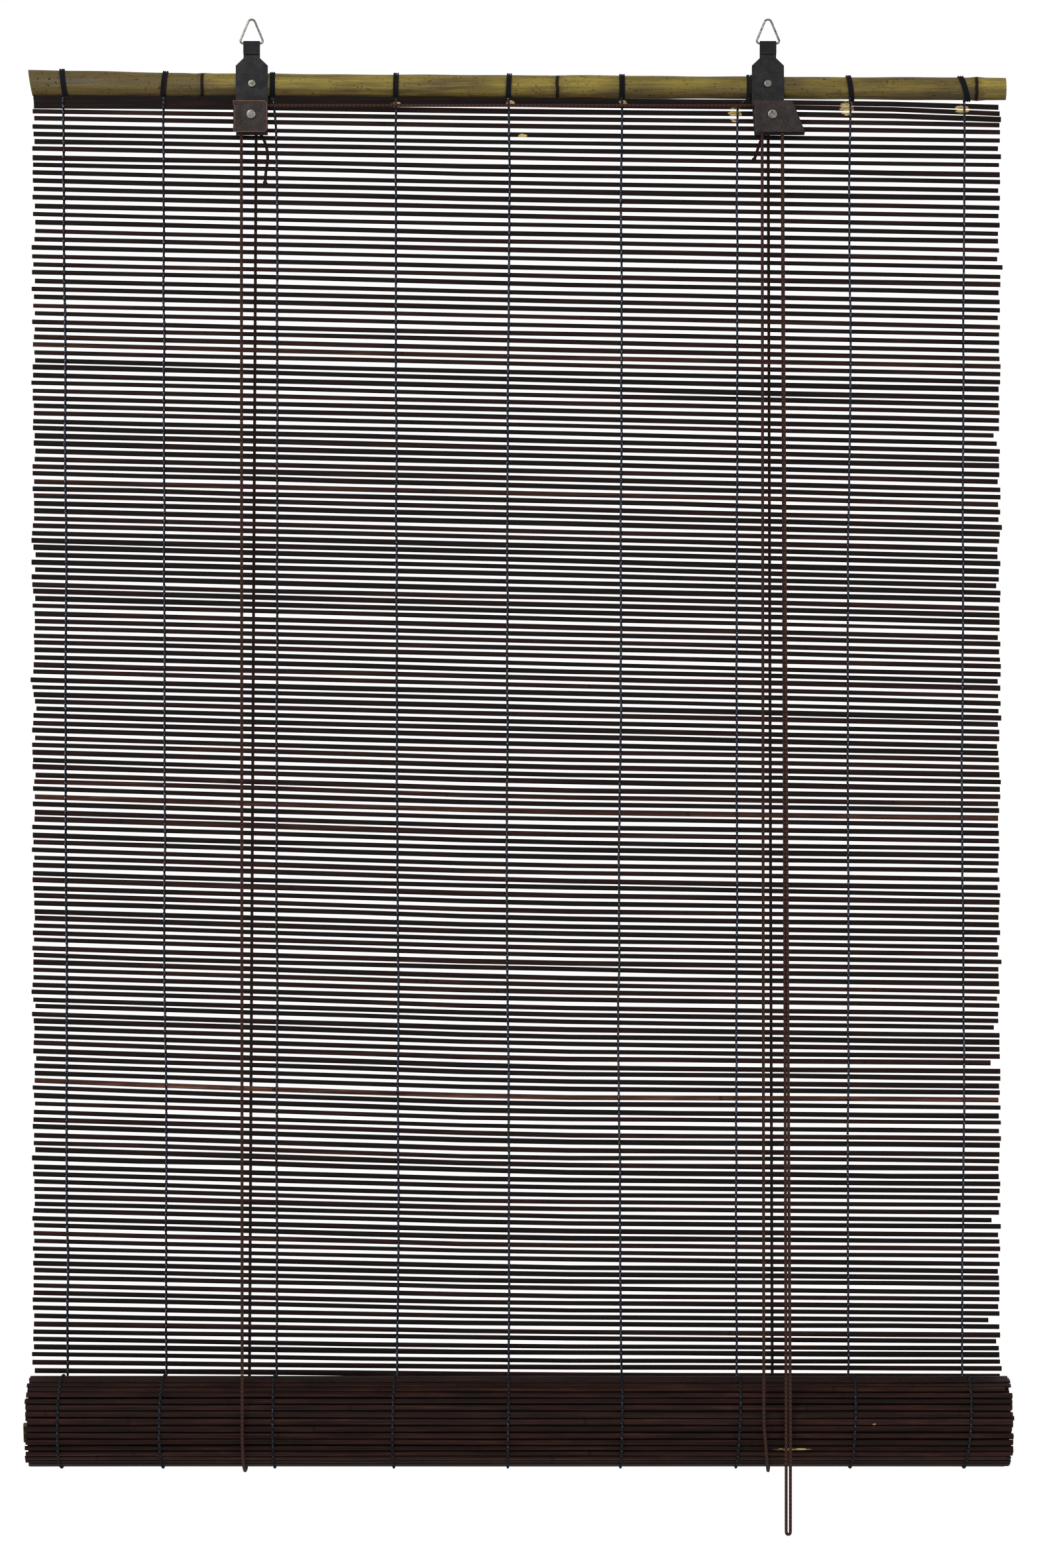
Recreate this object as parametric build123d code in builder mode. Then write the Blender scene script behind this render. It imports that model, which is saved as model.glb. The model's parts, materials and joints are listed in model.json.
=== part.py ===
from build123d import *
import math
import os

os.makedirs("parts", exist_ok=True)

# Bamboo roll up blind, about two thirds let down. X runs along the sticks, -Y faces the room, +Z is up.
# The origin is the middle of the head rail, on its flat back. All sizes are in millimetres.

# Clearances
fit_gap = 0.05  # a pin in its hole
seat_gap = 0.1  # pieces that bear on each other
soft_gap = 0.35  # cord or mat beside a piece that moves
cord_end_gap = 0.3  # between two lengths of the same cord on different pieces
overrun = 2.0  # how far a cut runs past its face

# Mat of split bamboo sticks
stick_length = 800.0
stick_height = 4.2
stick_depth = 2.9
stick_pitch = 9.0
flat_sticks = 121  # one more than the gaps of the hanging mat
rolled_sticks = 55
mat_front_set = 3.0  # from the rail's back to the middle of the hanging mat
first_stick_drop = 14.0  # from the rail's middle down to the first stick
turn_pitch = 4.3  # from one turn of the roll to the next
roll_radius = 38.0  # of the outer turn's middle, where it leaves the hanging mat
mat_web = 0.8  # thickness of the twine between two sticks
web_width = 1.2

# Warp threads, which bind the sticks together and lash the mat to the rail
thread_width = 1.0
thread_depth = 1.0
lashing_width = 4.0
lashing_depth = 1.0
warp_place_shares = (-0.469, -0.365, -0.2495, -0.125, -0.008, 0.1095, 0.229, 0.3455, 0.4635)
lashing_shift_shares = (0.0, 0.0, -0.003, 0.0, 0.0, 0.0, 0.0118, 0.0, 0.0)
lashing_lean = 30.0  # height over which a shifted lashing comes back to its thread

# Head rail, a split bamboo lath with its round side to the room
rail_length = 808.0
rail_left_height = 20.4
rail_right_height = 17.2
rail_depth = 7.0
rail_edge = 2.0
rail_end_slant = 3.3
node_place_shares = (-0.322, 0.042, 0.4715)
node_rise = 0.7
node_flat = 1.6
node_width = 9.0

# Bottom lath, rolled into the middle of the mat
bottom_lath_width = 16.0
bottom_lath_depth = 5.0
bottom_lath_rounding = 1.5
lath_place_share = 0.7  # of its width, past the last stick

# Hanging straps of folded sheet
sheet = 1.0
left_strap_x = -219.0
right_strap_x = 208.0
strap_width = 26.6
neck_width = 13.7
upper_rivet_rise = 1.4  # above the rail's middle
ring_bar_rise = 33.0  # these heights are from the upper rivet
shoulder_top_rise = 21.0
shoulder_low_rise = 14.8
flap_length = 8.8
lower_rivet_drop = 27.0
front_plate_top_drop = 15.5
front_plate_height = 26.0
back_plate_drop = 42.7
eye_gap = 0.08
housing_gap = 8.4
left_plate_left = 14.8
left_plate_right = 13.3
left_plate_corner = 3.7
left_wall_height = 17.2
fold_radius = 1.3
lock_sheave_offset = 3.2
lock_top_left = 12.0
lock_top_right = 19.9
lock_low_left = 11.2
lock_low_right = 30.2
lock_teeth = 6
tooth_length = 2.6
tooth_height = 1.3
tooth_sink = 0.2

# Rings, rivets and sheaves
wire = 1.8
ring_base = 20.4
ring_height = 24.4
ring_corner_radius = 2.0
ring_apex_radius = 3.0
upper_shank = 3.2
upper_head = 6.6
upper_head_height = 1.4
lower_shank = 4.0
lower_head = 8.0
lower_head_height = 1.6
rivet_tail_height = 0.5
rivet_tail_margin = 1.0
sheave_width = 8.0
groove_spacing = 3.8
groove_width = 3.0
sheave_cord_radius = 8.4  # of the cord's middle
sheave_rim = 1.0  # beyond the cord's middle
groove_gap = 0.3

# Lift cord
cord = 2.5
left_loop_x = -221.6
right_loop_front_x = 200.0
right_loop_back_x = 212.2
left_tie_offset = 3.0  # from the strap's middle to the tied end
right_tie_offset = 0.8
knot_radius = 2.6
knot_flat = 2.2
anchor_gap = 0.3
pull_rear_x = 217.9
pull_front_x = 221.6
pull_end_drop = 1185.5

# Routes of the two loose ends, from the knot down behind the mat
left_tail_route = [
    (-214.2, 1.2, -36.4),
    (-209.4, 0.9, -43.2),
    (-206.6, 0.6, -52.5),
    (-206.2, 0.4, -62.0),
    (-208.2, 0.3, -71.0),
    (-208.4, 0.3, -79.6),
]
right_tail_route = [
    (207.0, 1.2, -36.4),
    (202.8, 0.9, -43.8),
    (199.9, 0.6, -52.0),
    (197.2, 0.4, -60.5),
]
tail_bend_share = 0.45

# Places worked out from the sizes above
mat_y = -mat_front_set
first_stick_z = -first_stick_drop
last_stick_z = first_stick_z - (flat_sticks - 1) * stick_pitch
roll_z = last_stick_z - stick_pitch / 2
roll_y = mat_y - roll_radius
upper_rivet_z = upper_rivet_rise
lower_rivet_z = upper_rivet_z - lower_rivet_drop
ring_bar_z = upper_rivet_z + ring_bar_rise
front_plate_top_z = upper_rivet_z - front_plate_top_drop
front_plate_low_z = front_plate_top_z - front_plate_height
back_plate_low_z = upper_rivet_z - back_plate_drop
strap_back = rail_depth + seat_gap
strap_front = strap_back + sheet
plate_back = strap_front + housing_gap
plate_front = plate_back + sheet
strap_middle_y = -(strap_back + sheet / 2)
plate_middle_y = -(plate_back + sheet / 2)
eye_radius = wire / 2 + eye_gap + sheet / 2
ring_bar_y = strap_middle_y - eye_radius
right_sheave_x = right_strap_x + lock_sheave_offset
sheave_y = -(strap_front + housing_gap / 2)
sheave_radius = sheave_cord_radius + sheave_rim
rear_groove_y = sheave_y + groove_spacing / 2
front_groove_y = sheave_y - groove_spacing / 2
cord_radius = cord / 2
loop_radius = roll_radius + stick_depth / 2 + soft_gap + cord_radius
anchor_gap_rows = 2.5  # the tied end goes through the third gap of the mat
anchor_z = first_stick_z - anchor_gap_rows * stick_pitch
knot_y = mat_y + stick_depth / 2 + soft_gap + knot_radius


def rail_height(x):
    """Height of the tapering rail at x."""
    along = x / rail_length + 1 / 2
    return rail_left_height + (rail_right_height - rail_left_height) * along


def rail_outline(height, depth, back):
    """Edges of the rail's section, for a YZ sketch: a flat back, two narrow edges and a round front."""
    with BuildLine() as outline:
        Polyline((-rail_edge, height / 2), (back, height / 2), (back, -height / 2), (-rail_edge, -height / 2))
        ThreePointArc((-rail_edge, -height / 2), (-depth, 0), (-rail_edge, height / 2))
    return outline.edges()


def rail_arc_z(y, height, depth):
    """How far the rail's round front reaches below its middle at y."""
    rise = depth - rail_edge
    radius = (height * height / 4 + rise * rise) / (2 * rise)
    return math.sqrt(radius * radius - (y + depth - radius) ** 2)


def roll_angle(length):
    """Angle that a length of mat takes up on the roll, from where it leaves the hanging mat."""
    inner = math.sqrt(roll_radius**2 - turn_pitch * length / math.pi)
    return (roll_radius - inner) * 2 * math.pi / turn_pitch


def roll_point(angle, out=0.0, along=0.0):
    """A point of the roll's section, out from the middle of a turn and along it."""
    radius = roll_radius - turn_pitch * angle / (2 * math.pi) + out
    y = roll_y + radius * math.cos(angle) - along * math.sin(angle)
    z = roll_z - radius * math.sin(angle) - along * math.cos(angle)
    return (y, z)


def front_tangent(y, z):
    """Where a cord from (y, z) meets the circle of the lift loops at the front of the roll."""
    distance = math.hypot(y - roll_y, z - roll_z)
    angle = math.atan2(z - roll_z, y - roll_y) + math.acos(loop_radius / distance)
    return (roll_y + loop_radius * math.cos(angle), roll_z + loop_radius * math.sin(angle), angle)


# Head rail
rail_stations = [(-rail_length / 2 - rail_end_slant, 0.0)]
for share in node_place_shares:
    node_x = share * rail_length
    rail_stations.append((node_x - node_width / 2, 0.0))
    rail_stations.append((node_x - node_flat / 2, node_rise))
    rail_stations.append((node_x + node_flat / 2, node_rise))
    rail_stations.append((node_x + node_width / 2, 0.0))
rail_stations.append((rail_length / 2, 0.0))
with BuildPart() as head_rail:
    for station_x, rise in rail_stations:
        with BuildSketch(Plane.YZ.offset(station_x)):
            make_face(rail_outline(rail_height(station_x) + 2 * rise, rail_depth + rise, 0))
    loft(ruled=True)
    slant_normal = (-rail_left_height, 0, -rail_end_slant)
    split(bisect_by=Plane(origin=(-rail_length / 2, 0, 0), z_dir=slant_normal), keep=Keep.BOTTOM)
    for strap_x in (left_strap_x, right_strap_x):
        with BuildSketch(Plane.XZ.offset(-overrun)):
            with Locations((strap_x, upper_rivet_z)):
                Circle(upper_shank / 2 + fit_gap)
        extrude(amount=rail_depth + 2 * overrun, mode=Mode.SUBTRACT)
head_rail.part.label = "head_rail"
export_step(head_rail.part, "parts/head_rail.step")

# Hanging mat: sticks held apart by the twine of the outer two warps
with BuildPart() as hanging_mat:
    with BuildSketch(Plane.YZ.offset(-stick_length / 2)):
        with Locations((mat_y, (first_stick_z + last_stick_z) / 2)):
            with GridLocations(0, stick_pitch, 1, flat_sticks):
                Rectangle(stick_depth, stick_height)
    extrude(amount=stick_length)
    for share in (warp_place_shares[0], warp_place_shares[-1]):
        with BuildSketch(Plane.XZ.offset(-mat_y - mat_web / 2)):
            with Locations((share * stick_length, (first_stick_z + last_stick_z) / 2)):
                Rectangle(web_width, first_stick_z - last_stick_z)
        extrude(amount=mat_web)
hanging_mat.part.label = "hanging_mat"
export_step(hanging_mat.part, "parts/hanging_mat.step")

# Rolled part of the mat, one ridged strip wound into a spiral
outer_side = []
inner_side = []
for count in range(rolled_sticks):
    stick_angle = roll_angle((count + 1 / 2) * stick_pitch)
    half = stick_height / 2
    for along, out in ((-half, mat_web), (-half, stick_depth), (half, stick_depth), (half, mat_web)):
        outer_side.append(roll_point(stick_angle, out / 2, along))
        inner_side.append(roll_point(stick_angle, -out / 2, along))
with BuildPart() as rolled_mat:
    with BuildSketch(Plane.YZ.offset(-stick_length / 2)):
        with BuildLine():
            Polyline(outer_side[1:-1] + inner_side[-2:0:-1], close=True)
        make_face()
    extrude(amount=stick_length)
rolled_mat.part.label = "rolled_mat"
export_step(rolled_mat.part, "parts/rolled_mat.step")

# Bottom lath, which lies against the inside of the roll just past the last stick
lath_length = rolled_sticks * stick_pitch + bottom_lath_width * lath_place_share
lath_angle = roll_angle(lath_length)
turn_outside = roll_radius - turn_pitch * (lath_angle / (2 * math.pi) - 1)
lath_half_angle = math.asin(bottom_lath_width / (2 * turn_outside))
lath_reach = turn_outside - turn_pitch * lath_half_angle / (2 * math.pi) - stick_depth / 2 - seat_gap
corner_reach = lath_reach - bottom_lath_rounding
corner_set = bottom_lath_width / 2 - bottom_lath_rounding
lath_face = math.sqrt(corner_reach**2 - corner_set**2) + bottom_lath_rounding
lath_plane = Plane(
    origin=(-stick_length / 2, roll_y, roll_z),
    x_dir=(0, math.cos(lath_angle), -math.sin(lath_angle)),
    z_dir=(1, 0, 0),
)
with BuildPart() as bottom_lath:
    with BuildSketch(lath_plane):
        with Locations((lath_face - bottom_lath_depth / 2, 0)):
            RectangleRounded(bottom_lath_depth, bottom_lath_width, bottom_lath_rounding)
    extrude(amount=stick_length)
bottom_lath.part.label = "bottom_lath"
export_step(bottom_lath.part, "parts/bottom_lath.step")

# Warp threads, each with a strand in front of the sticks, one behind them and a lashing round the rail
for number, (share, shift_share) in enumerate(zip(warp_place_shares, lashing_shift_shares), start=1):
    warp_x = share * stick_length
    lashing_x = warp_x + shift_share * stick_length
    height = rail_height(lashing_x)
    inside = 2 * seat_gap
    outside = 2 * (seat_gap + lashing_depth)
    front_y = mat_y - stick_depth / 2 - thread_depth / 2
    front_top_z = -rail_arc_z(front_y, height + inside + lashing_depth, rail_depth + seat_gap + lashing_depth / 2)
    back_top_z = -height / 2 - seat_gap - lashing_depth / 2
    thread_end_z = roll_z + soft_gap
    with BuildPart() as warp_thread:
        with BuildSketch(Plane.YZ.offset(lashing_x - lashing_width / 2)):
            make_face(rail_outline(height + outside, rail_depth + outside / 2, outside / 2))
            rail_hole = rail_outline(height + inside, rail_depth + inside / 2, inside / 2)
            make_face(rail_hole, mode=Mode.SUBTRACT)
        extrude(amount=lashing_width)
        front_set = -mat_y + stick_depth / 2
        back_set = -mat_y - stick_depth / 2 - thread_depth
        for set_out, top_z in ((front_set, front_top_z), (back_set, back_top_z)):
            lean_z = top_z - lashing_lean
            with BuildSketch(Plane.XZ.offset(set_out)):
                with BuildLine():
                    Polyline(
                        (lashing_x - thread_width / 2, top_z),
                        (lashing_x + thread_width / 2, top_z),
                        (warp_x + thread_width / 2, lean_z),
                        (warp_x + thread_width / 2, thread_end_z),
                        (warp_x - thread_width / 2, thread_end_z),
                        (warp_x - thread_width / 2, lean_z),
                        close=True,
                    )
                make_face()
            extrude(amount=thread_depth)
    warp_thread.part.label = f"warp_thread_{number}"
    export_step(warp_thread.part, f"parts/warp_thread_{number}.step")


def strap_sheet(strap_x, tie_offset, sheave_x, lower_outline):
    """A strap's flat sheet with its holes, and its neck rolled forward over the ring's bar into a flap."""
    with BuildPart() as strap:
        with BuildSketch(Plane.XZ.offset(strap_back)):
            with BuildLine():
                Polyline(
                    (strap_x + neck_width / 2, ring_bar_z),
                    (strap_x + neck_width / 2, upper_rivet_z + shoulder_top_rise),
                    (strap_x + strap_width / 2, upper_rivet_z + shoulder_low_rise),
                    *lower_outline,
                    (strap_x - strap_width / 2, upper_rivet_z + shoulder_low_rise),
                    (strap_x - neck_width / 2, upper_rivet_z + shoulder_top_rise),
                    (strap_x - neck_width / 2, ring_bar_z),
                    close=True,
                )
            make_face()
            with Locations((strap_x, upper_rivet_z)):
                Circle(upper_shank / 2 + fit_gap, mode=Mode.SUBTRACT)
            with Locations((sheave_x, lower_rivet_z)):
                Circle(lower_shank / 2 + fit_gap, mode=Mode.SUBTRACT)
            with Locations((strap_x + tie_offset, anchor_z)):
                Circle(cord_radius + anchor_gap, mode=Mode.SUBTRACT)
        extrude(amount=sheet)
        flap_y = ring_bar_y - eye_radius
        with BuildSketch(Plane.YZ.offset(strap_x - neck_width / 2)):
            with BuildLine():
                Line((strap_middle_y, upper_rivet_z + shoulder_top_rise), (strap_middle_y, ring_bar_z))
                CenterArc((ring_bar_y, ring_bar_z), eye_radius, 0, 180)
                Line((flap_y, ring_bar_z), (flap_y, ring_bar_z - flap_length))
            trace(line_width=sheet)
        extrude(amount=neck_width)
    return strap.part


# Left strap: its lower end is folded forward along the left side into a sheave housing
plate_left = left_strap_x - left_plate_left
plate_right = left_strap_x + left_plate_right
wall_low_z = front_plate_low_z + (front_plate_height - left_wall_height) / 2
wall_top_z = wall_low_z + left_wall_height
fold_start = plate_left + fold_radius + sheet / 2
left_lower_outline = [
    (left_strap_x + strap_width / 2, back_plate_low_z),
    (fold_start, back_plate_low_z),
    (fold_start, front_plate_top_z),
    (left_strap_x - strap_width / 2, front_plate_top_z),
]
left_sheet = strap_sheet(left_strap_x, left_tie_offset, left_strap_x, left_lower_outline)
with BuildPart() as left_bracket:
    add(left_sheet)
    with BuildSketch(Plane.XY.offset(wall_low_z)):
        with BuildLine():
            FilletPolyline(
                (left_strap_x - lower_shank, strap_middle_y),
                (plate_left + sheet / 2, strap_middle_y),
                (plate_left + sheet / 2, plate_middle_y),
                (left_strap_x - lower_shank, plate_middle_y),
                radius=fold_radius,
            )
        trace(line_width=sheet)
    extrude(amount=left_wall_height)
    with BuildSketch(Plane.XZ.offset(plate_back)):
        with BuildLine():
            Polyline(
                (plate_right, front_plate_top_z),
                (plate_left, front_plate_top_z),
                (plate_left, wall_top_z),
                (fold_start, wall_top_z),
                (fold_start, wall_low_z),
                (plate_left, wall_low_z),
                (plate_left, front_plate_low_z),
                (plate_right, front_plate_low_z),
                close=True,
            )
        front_face = make_face()
        fillet(front_face.vertices().group_by(Axis.X)[-1], radius=left_plate_corner)
    extrude(amount=sheet)
    with BuildSketch(Plane.XZ.offset(plate_back)):
        with Locations((left_strap_x, lower_rivet_z)):
            Circle(lower_shank / 2 + fit_gap)
    extrude(amount=sheet, mode=Mode.SUBTRACT)
left_bracket.part.label = "left_bracket"
export_step(left_bracket.part, "parts/left_bracket.step")

# Right strap: its housing is folded along a slanting, toothed side that jams the pull cord
lock_top = Vector(right_strap_x + lock_top_right, 0, front_plate_top_z)
lock_low = Vector(right_strap_x + lock_low_right, 0, front_plate_low_z)
slant = (lock_low - lock_top).normalized()
inward = Vector(slant.Z, 0, -slant.X)
wall_run = sheet / abs(slant.Z)
right_lower_outline = [
    (right_strap_x + strap_width / 2, front_plate_top_z),
    (lock_top.X, lock_top.Z),
    (lock_low.X, lock_low.Z),
    (lock_low.X, back_plate_low_z),
    (right_strap_x - lock_low_left, back_plate_low_z),
    (right_strap_x - strap_width / 2, front_plate_top_z),
]
right_sheet = strap_sheet(right_strap_x, right_tie_offset, right_sheave_x, right_lower_outline)
with BuildPart() as right_bracket:
    add(right_sheet)
    with BuildSketch(Plane.XZ.offset(strap_front)):
        with BuildLine():
            Polyline(
                (lock_top.X, lock_top.Z),
                (lock_low.X, lock_low.Z),
                (lock_low.X - wall_run, lock_low.Z),
                (lock_top.X - wall_run, lock_top.Z),
                close=True,
            )
        make_face()
    extrude(amount=housing_gap)
    with BuildSketch(Plane.XZ.offset(strap_front + housing_gap / 4)):
        for count in range(lock_teeth):
            root = lock_top + slant * (lock_low - lock_top).length * (count + 1) / (lock_teeth + 1)
            root = root + inward * (sheet - tooth_sink)
            tip = root + inward * (tooth_height + tooth_sink)
            with BuildLine():
                Polyline(
                    (root.X - slant.X * tooth_length / 2, root.Z - slant.Z * tooth_length / 2),
                    (root.X + slant.X * tooth_length / 2, root.Z + slant.Z * tooth_length / 2),
                    (tip.X, tip.Z),
                    close=True,
                )
            make_face()
    extrude(amount=housing_gap / 2)
    with BuildSketch(Plane.XZ.offset(plate_back)):
        with BuildLine():
            Polyline(
                (right_strap_x - lock_top_left, front_plate_top_z),
                (lock_top.X, lock_top.Z),
                (lock_low.X, lock_low.Z),
                (right_strap_x - lock_low_left, front_plate_low_z),
                close=True,
            )
        make_face()
        with Locations((right_sheave_x, lower_rivet_z)):
            Circle(lower_shank / 2 + fit_gap, mode=Mode.SUBTRACT)
    extrude(amount=sheet)
    slant_edges = right_bracket.edges().filter_by(Axis((0, 0, 0), (slant.X, 0, slant.Z)))
    fillet(slant_edges.group_by(Axis.Y)[0].sort_by(Axis.X)[-1], radius=fold_radius)
right_bracket.part.label = "right_bracket"
export_step(right_bracket.part, "parts/right_bracket.step")

# Hanging rings of round wire
for side, strap_x in (("left", left_strap_x), ("right", right_strap_x)):
    with BuildPart() as ring:
        with BuildLine() as ring_line:
            FilletPolyline(
                (strap_x - ring_base / 2, ring_bar_y, ring_bar_z),
                (strap_x + ring_base / 2, ring_bar_y, ring_bar_z),
                (strap_x, ring_bar_y, ring_bar_z + ring_height),
                radius=[ring_corner_radius, ring_corner_radius, ring_apex_radius],
                close=True,
            )
        ring_path = ring_line.wires()[0]
        with BuildSketch(Plane(origin=ring_path @ 0, z_dir=ring_path % 0)):
            Circle(wire / 2)
        sweep(path=ring_path)
    ring.part.label = f"{side}_ring"
    export_step(ring.part, f"parts/{side}_ring.step")

# Rivets: the upper ones hold the straps to the rail, the lower ones are the sheaves' axles
for side, strap_x, sheave_x in (
    ("left", left_strap_x, left_strap_x),
    ("right", right_strap_x, right_sheave_x),
):
    for name, x, z, shank, head, head_height, head_set, tail_set in (
        ("hanger", strap_x, upper_rivet_z, upper_shank, upper_head, upper_head_height, strap_front, 0.0),
        ("sheave", sheave_x, lower_rivet_z, lower_shank, lower_head, lower_head_height, plate_front, strap_back),
    ):
        with BuildPart() as rivet:
            with BuildSketch(Plane.XZ.offset(tail_set - rivet_tail_height)):
                with Locations((x, z)):
                    Circle(shank / 2 + rivet_tail_margin)
            extrude(amount=rivet_tail_height)
            with BuildSketch(Plane.XZ.offset(tail_set)):
                with Locations((x, z)):
                    Circle(shank / 2)
            extrude(amount=head_set - tail_set)
            with BuildSketch(Plane.XZ.offset(head_set)):
                with Locations((x, z)):
                    Circle(head / 2)
            extrude(amount=head_height)
            rim = rivet.edges().group_by(Axis.Y)[0]
            fillet(rim, radius=head_height * 2 / 3)
        rivet.part.label = f"{side}_{name}_rivet"
        export_step(rivet.part, f"parts/{side}_{name}_rivet.step")

# Sheaves, each with two grooves side by side
for side, sheave_x in (("left", left_strap_x), ("right", right_sheave_x)):
    bore = lower_shank / 2 + fit_gap
    groove_bottom = sheave_cord_radius - cord_radius - groove_gap
    groove_wall = groove_bottom + groove_width / 2
    half_width = sheave_width / 2
    outer_wall = groove_spacing / 2 + groove_width / 2
    inner_wall = groove_spacing / 2 - groove_width / 2
    with BuildPart() as sheave:
        with BuildSketch(Plane(origin=(sheave_x, sheave_y, lower_rivet_z), x_dir=(1, 0, 0), z_dir=(0, 0, 1))):
            with BuildLine():
                Polyline(
                    (groove_wall, outer_wall),
                    (sheave_radius, outer_wall),
                    (sheave_radius, half_width),
                    (bore, half_width),
                    (bore, -half_width),
                    (sheave_radius, -half_width),
                    (sheave_radius, -outer_wall),
                    (groove_wall, -outer_wall),
                )
                ThreePointArc(
                    (groove_wall, -outer_wall), (groove_bottom, -groove_spacing / 2), (groove_wall, -inner_wall)
                )
                Polyline(
                    (groove_wall, -inner_wall),
                    (sheave_radius, -inner_wall),
                    (sheave_radius, inner_wall),
                    (groove_wall, inner_wall),
                )
                ThreePointArc(
                    (groove_wall, inner_wall), (groove_bottom, groove_spacing / 2), (groove_wall, outer_wall)
                )
            make_face()
        revolve(axis=Axis((sheave_x, sheave_y, lower_rivet_z), (0, 1, 0)))
    sheave.part.label = f"{side}_sheave"
    export_step(sheave.part, f"parts/{side}_sheave.step")


def straight_cord(label, start, end):
    """A tight length of the lift cord from start to end, written as its own piece."""
    run = Vector(*end) - Vector(*start)
    with BuildPart() as cord_run:
        with BuildSketch(Plane(origin=start, z_dir=run)):
            Circle(cord_radius)
        extrude(amount=run.length)
    cord_run.part.label = label
    export_step(cord_run.part, f"parts/{label}.step")


def short_of(start, end):
    """The point on the way from start to end that lies the cord's end gap before it."""
    run = Vector(*end) - Vector(*start)
    stop = Vector(*end) - run.normalized() * cord_end_gap
    return (stop.X, stop.Y, stop.Z)


# Front lengths of the lift cord, from the sheaves down to the front of the roll
left_front_top = (left_strap_x - sheave_cord_radius, rear_groove_y, lower_rivet_z)
right_front_top = (right_sheave_x - sheave_cord_radius, front_groove_y, lower_rivet_z)
for label, top, low_x in (
    ("left_front_cord", left_front_top, left_loop_x),
    ("right_front_cord", right_front_top, right_loop_front_x),
):
    low_y, low_z, low_angle = front_tangent(top[1], top[2])
    low = (low_x, low_y, low_z)
    straight_cord(label, short_of(low, top), short_of(top, low))

# Lift loops, the cord under the roll from its front to its back
for label, front_x, back_x, top in (
    ("left_lift_loop", left_loop_x, left_loop_x, left_front_top),
    ("right_lift_loop", right_loop_front_x, right_loop_back_x, right_front_top),
):
    low_y, low_z, low_angle = front_tangent(top[1], top[2])
    across = Vector((back_x - front_x) / 2, loop_radius, 0)
    middle = Vector((front_x + back_x) / 2, roll_y, roll_z)
    loop_axis = Axis(middle, Vector(0, 0, 1).cross(across))
    back_end = middle + across
    with BuildPart() as lift_loop:
        with BuildSketch(Plane(origin=back_end, z_dir=(0, 0, 1))):
            Circle(cord_radius)
        revolve(axis=loop_axis, revolution_arc=360 - math.degrees(low_angle))
    lift_loop.part.label = label
    export_step(lift_loop.part, f"parts/{label}.step")

# Back lengths, from the back of the roll up behind the mat to the knots
for side, strap_x, tie_offset, back_x in (
    ("left", left_strap_x, left_tie_offset, left_loop_x),
    ("right", right_strap_x, right_tie_offset, right_loop_back_x),
):
    knot_end = (strap_x + tie_offset, knot_y, anchor_z - knot_flat)
    loop_end = (back_x, roll_y + loop_radius, roll_z)
    straight_cord(f"{side}_back_cord", short_of(knot_end, loop_end), short_of(loop_end, knot_end))

# Knots: the cord goes through the mat into the strap, is tied behind it, and its loose end hangs down
for side, strap_x, tie_offset, route in (
    ("left", left_strap_x, left_tie_offset, left_tail_route),
    ("right", right_strap_x, right_tie_offset, right_tail_route),
):
    points = [Vector(*point) for point in route]
    radii = []
    for before, at, after in zip(points, points[1:], points[2:]):
        turn = math.radians((at - before).get_angle(after - at))
        shorter = min((at - before).length, (after - at).length)
        radii.append(tail_bend_share * shorter / math.tan(turn / 2))
    print(f"{side} tail radii", [round(radius, 1) for radius in radii])
    tie_x = strap_x + tie_offset
    with BuildPart() as cord_knot:
        with Locations((tie_x, knot_y, anchor_z)):
            Sphere(knot_radius)
        split(bisect_by=Plane(origin=(tie_x, knot_y, anchor_z - knot_flat)), keep=Keep.TOP)
        with BuildSketch(Plane.XZ.offset(-knot_y)):
            with Locations((tie_x, anchor_z)):
                Circle(cord_radius)
        extrude(amount=knot_y + strap_front)
        with BuildLine() as tail_line:
            FilletPolyline(*points, radius=radii)
        tail_path = tail_line.wires()[0]
        with BuildSketch(Plane(origin=tail_path @ 0, z_dir=tail_path % 0)):
            Circle(cord_radius)
        sweep(path=tail_path)
    cord_knot.part.label = f"{side}_cord_knot"
    export_step(cord_knot.part, f"parts/{side}_cord_knot.step")

# Cross cord, from the left sheave over to the right one
sheave_top_z = lower_rivet_z + sheave_cord_radius
with BuildPart() as cross_cord:
    with BuildSketch(Plane.YZ.offset(left_strap_x)):
        with Locations((rear_groove_y, sheave_top_z)):
            Circle(cord_radius)
    extrude(amount=right_sheave_x - left_strap_x)
    for sheave_x, turn_way in ((left_strap_x, -1), (right_sheave_x, 1)):
        with BuildSketch(Plane.YZ.offset(sheave_x)):
            with Locations((rear_groove_y, sheave_top_z)):
                Circle(cord_radius)
        revolve(axis=Axis((sheave_x, 0, lower_rivet_z), (0, turn_way, 0)), revolution_arc=90)
cross_cord.part.label = "cross_cord"
export_step(cross_cord.part, "parts/cross_cord.step")

# The right front cord's turn over the lock's sheave
with BuildPart() as lock_wrap_cord:
    with BuildSketch(Plane(origin=right_front_top, z_dir=(0, 0, 1))):
        Circle(cord_radius)
    revolve(axis=Axis((right_sheave_x, 0, lower_rivet_z), (0, 1, 0)), revolution_arc=180)
lock_wrap_cord.part.label = "lock_wrap_cord"
export_step(lock_wrap_cord.part, "parts/lock_wrap_cord.step")

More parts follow.
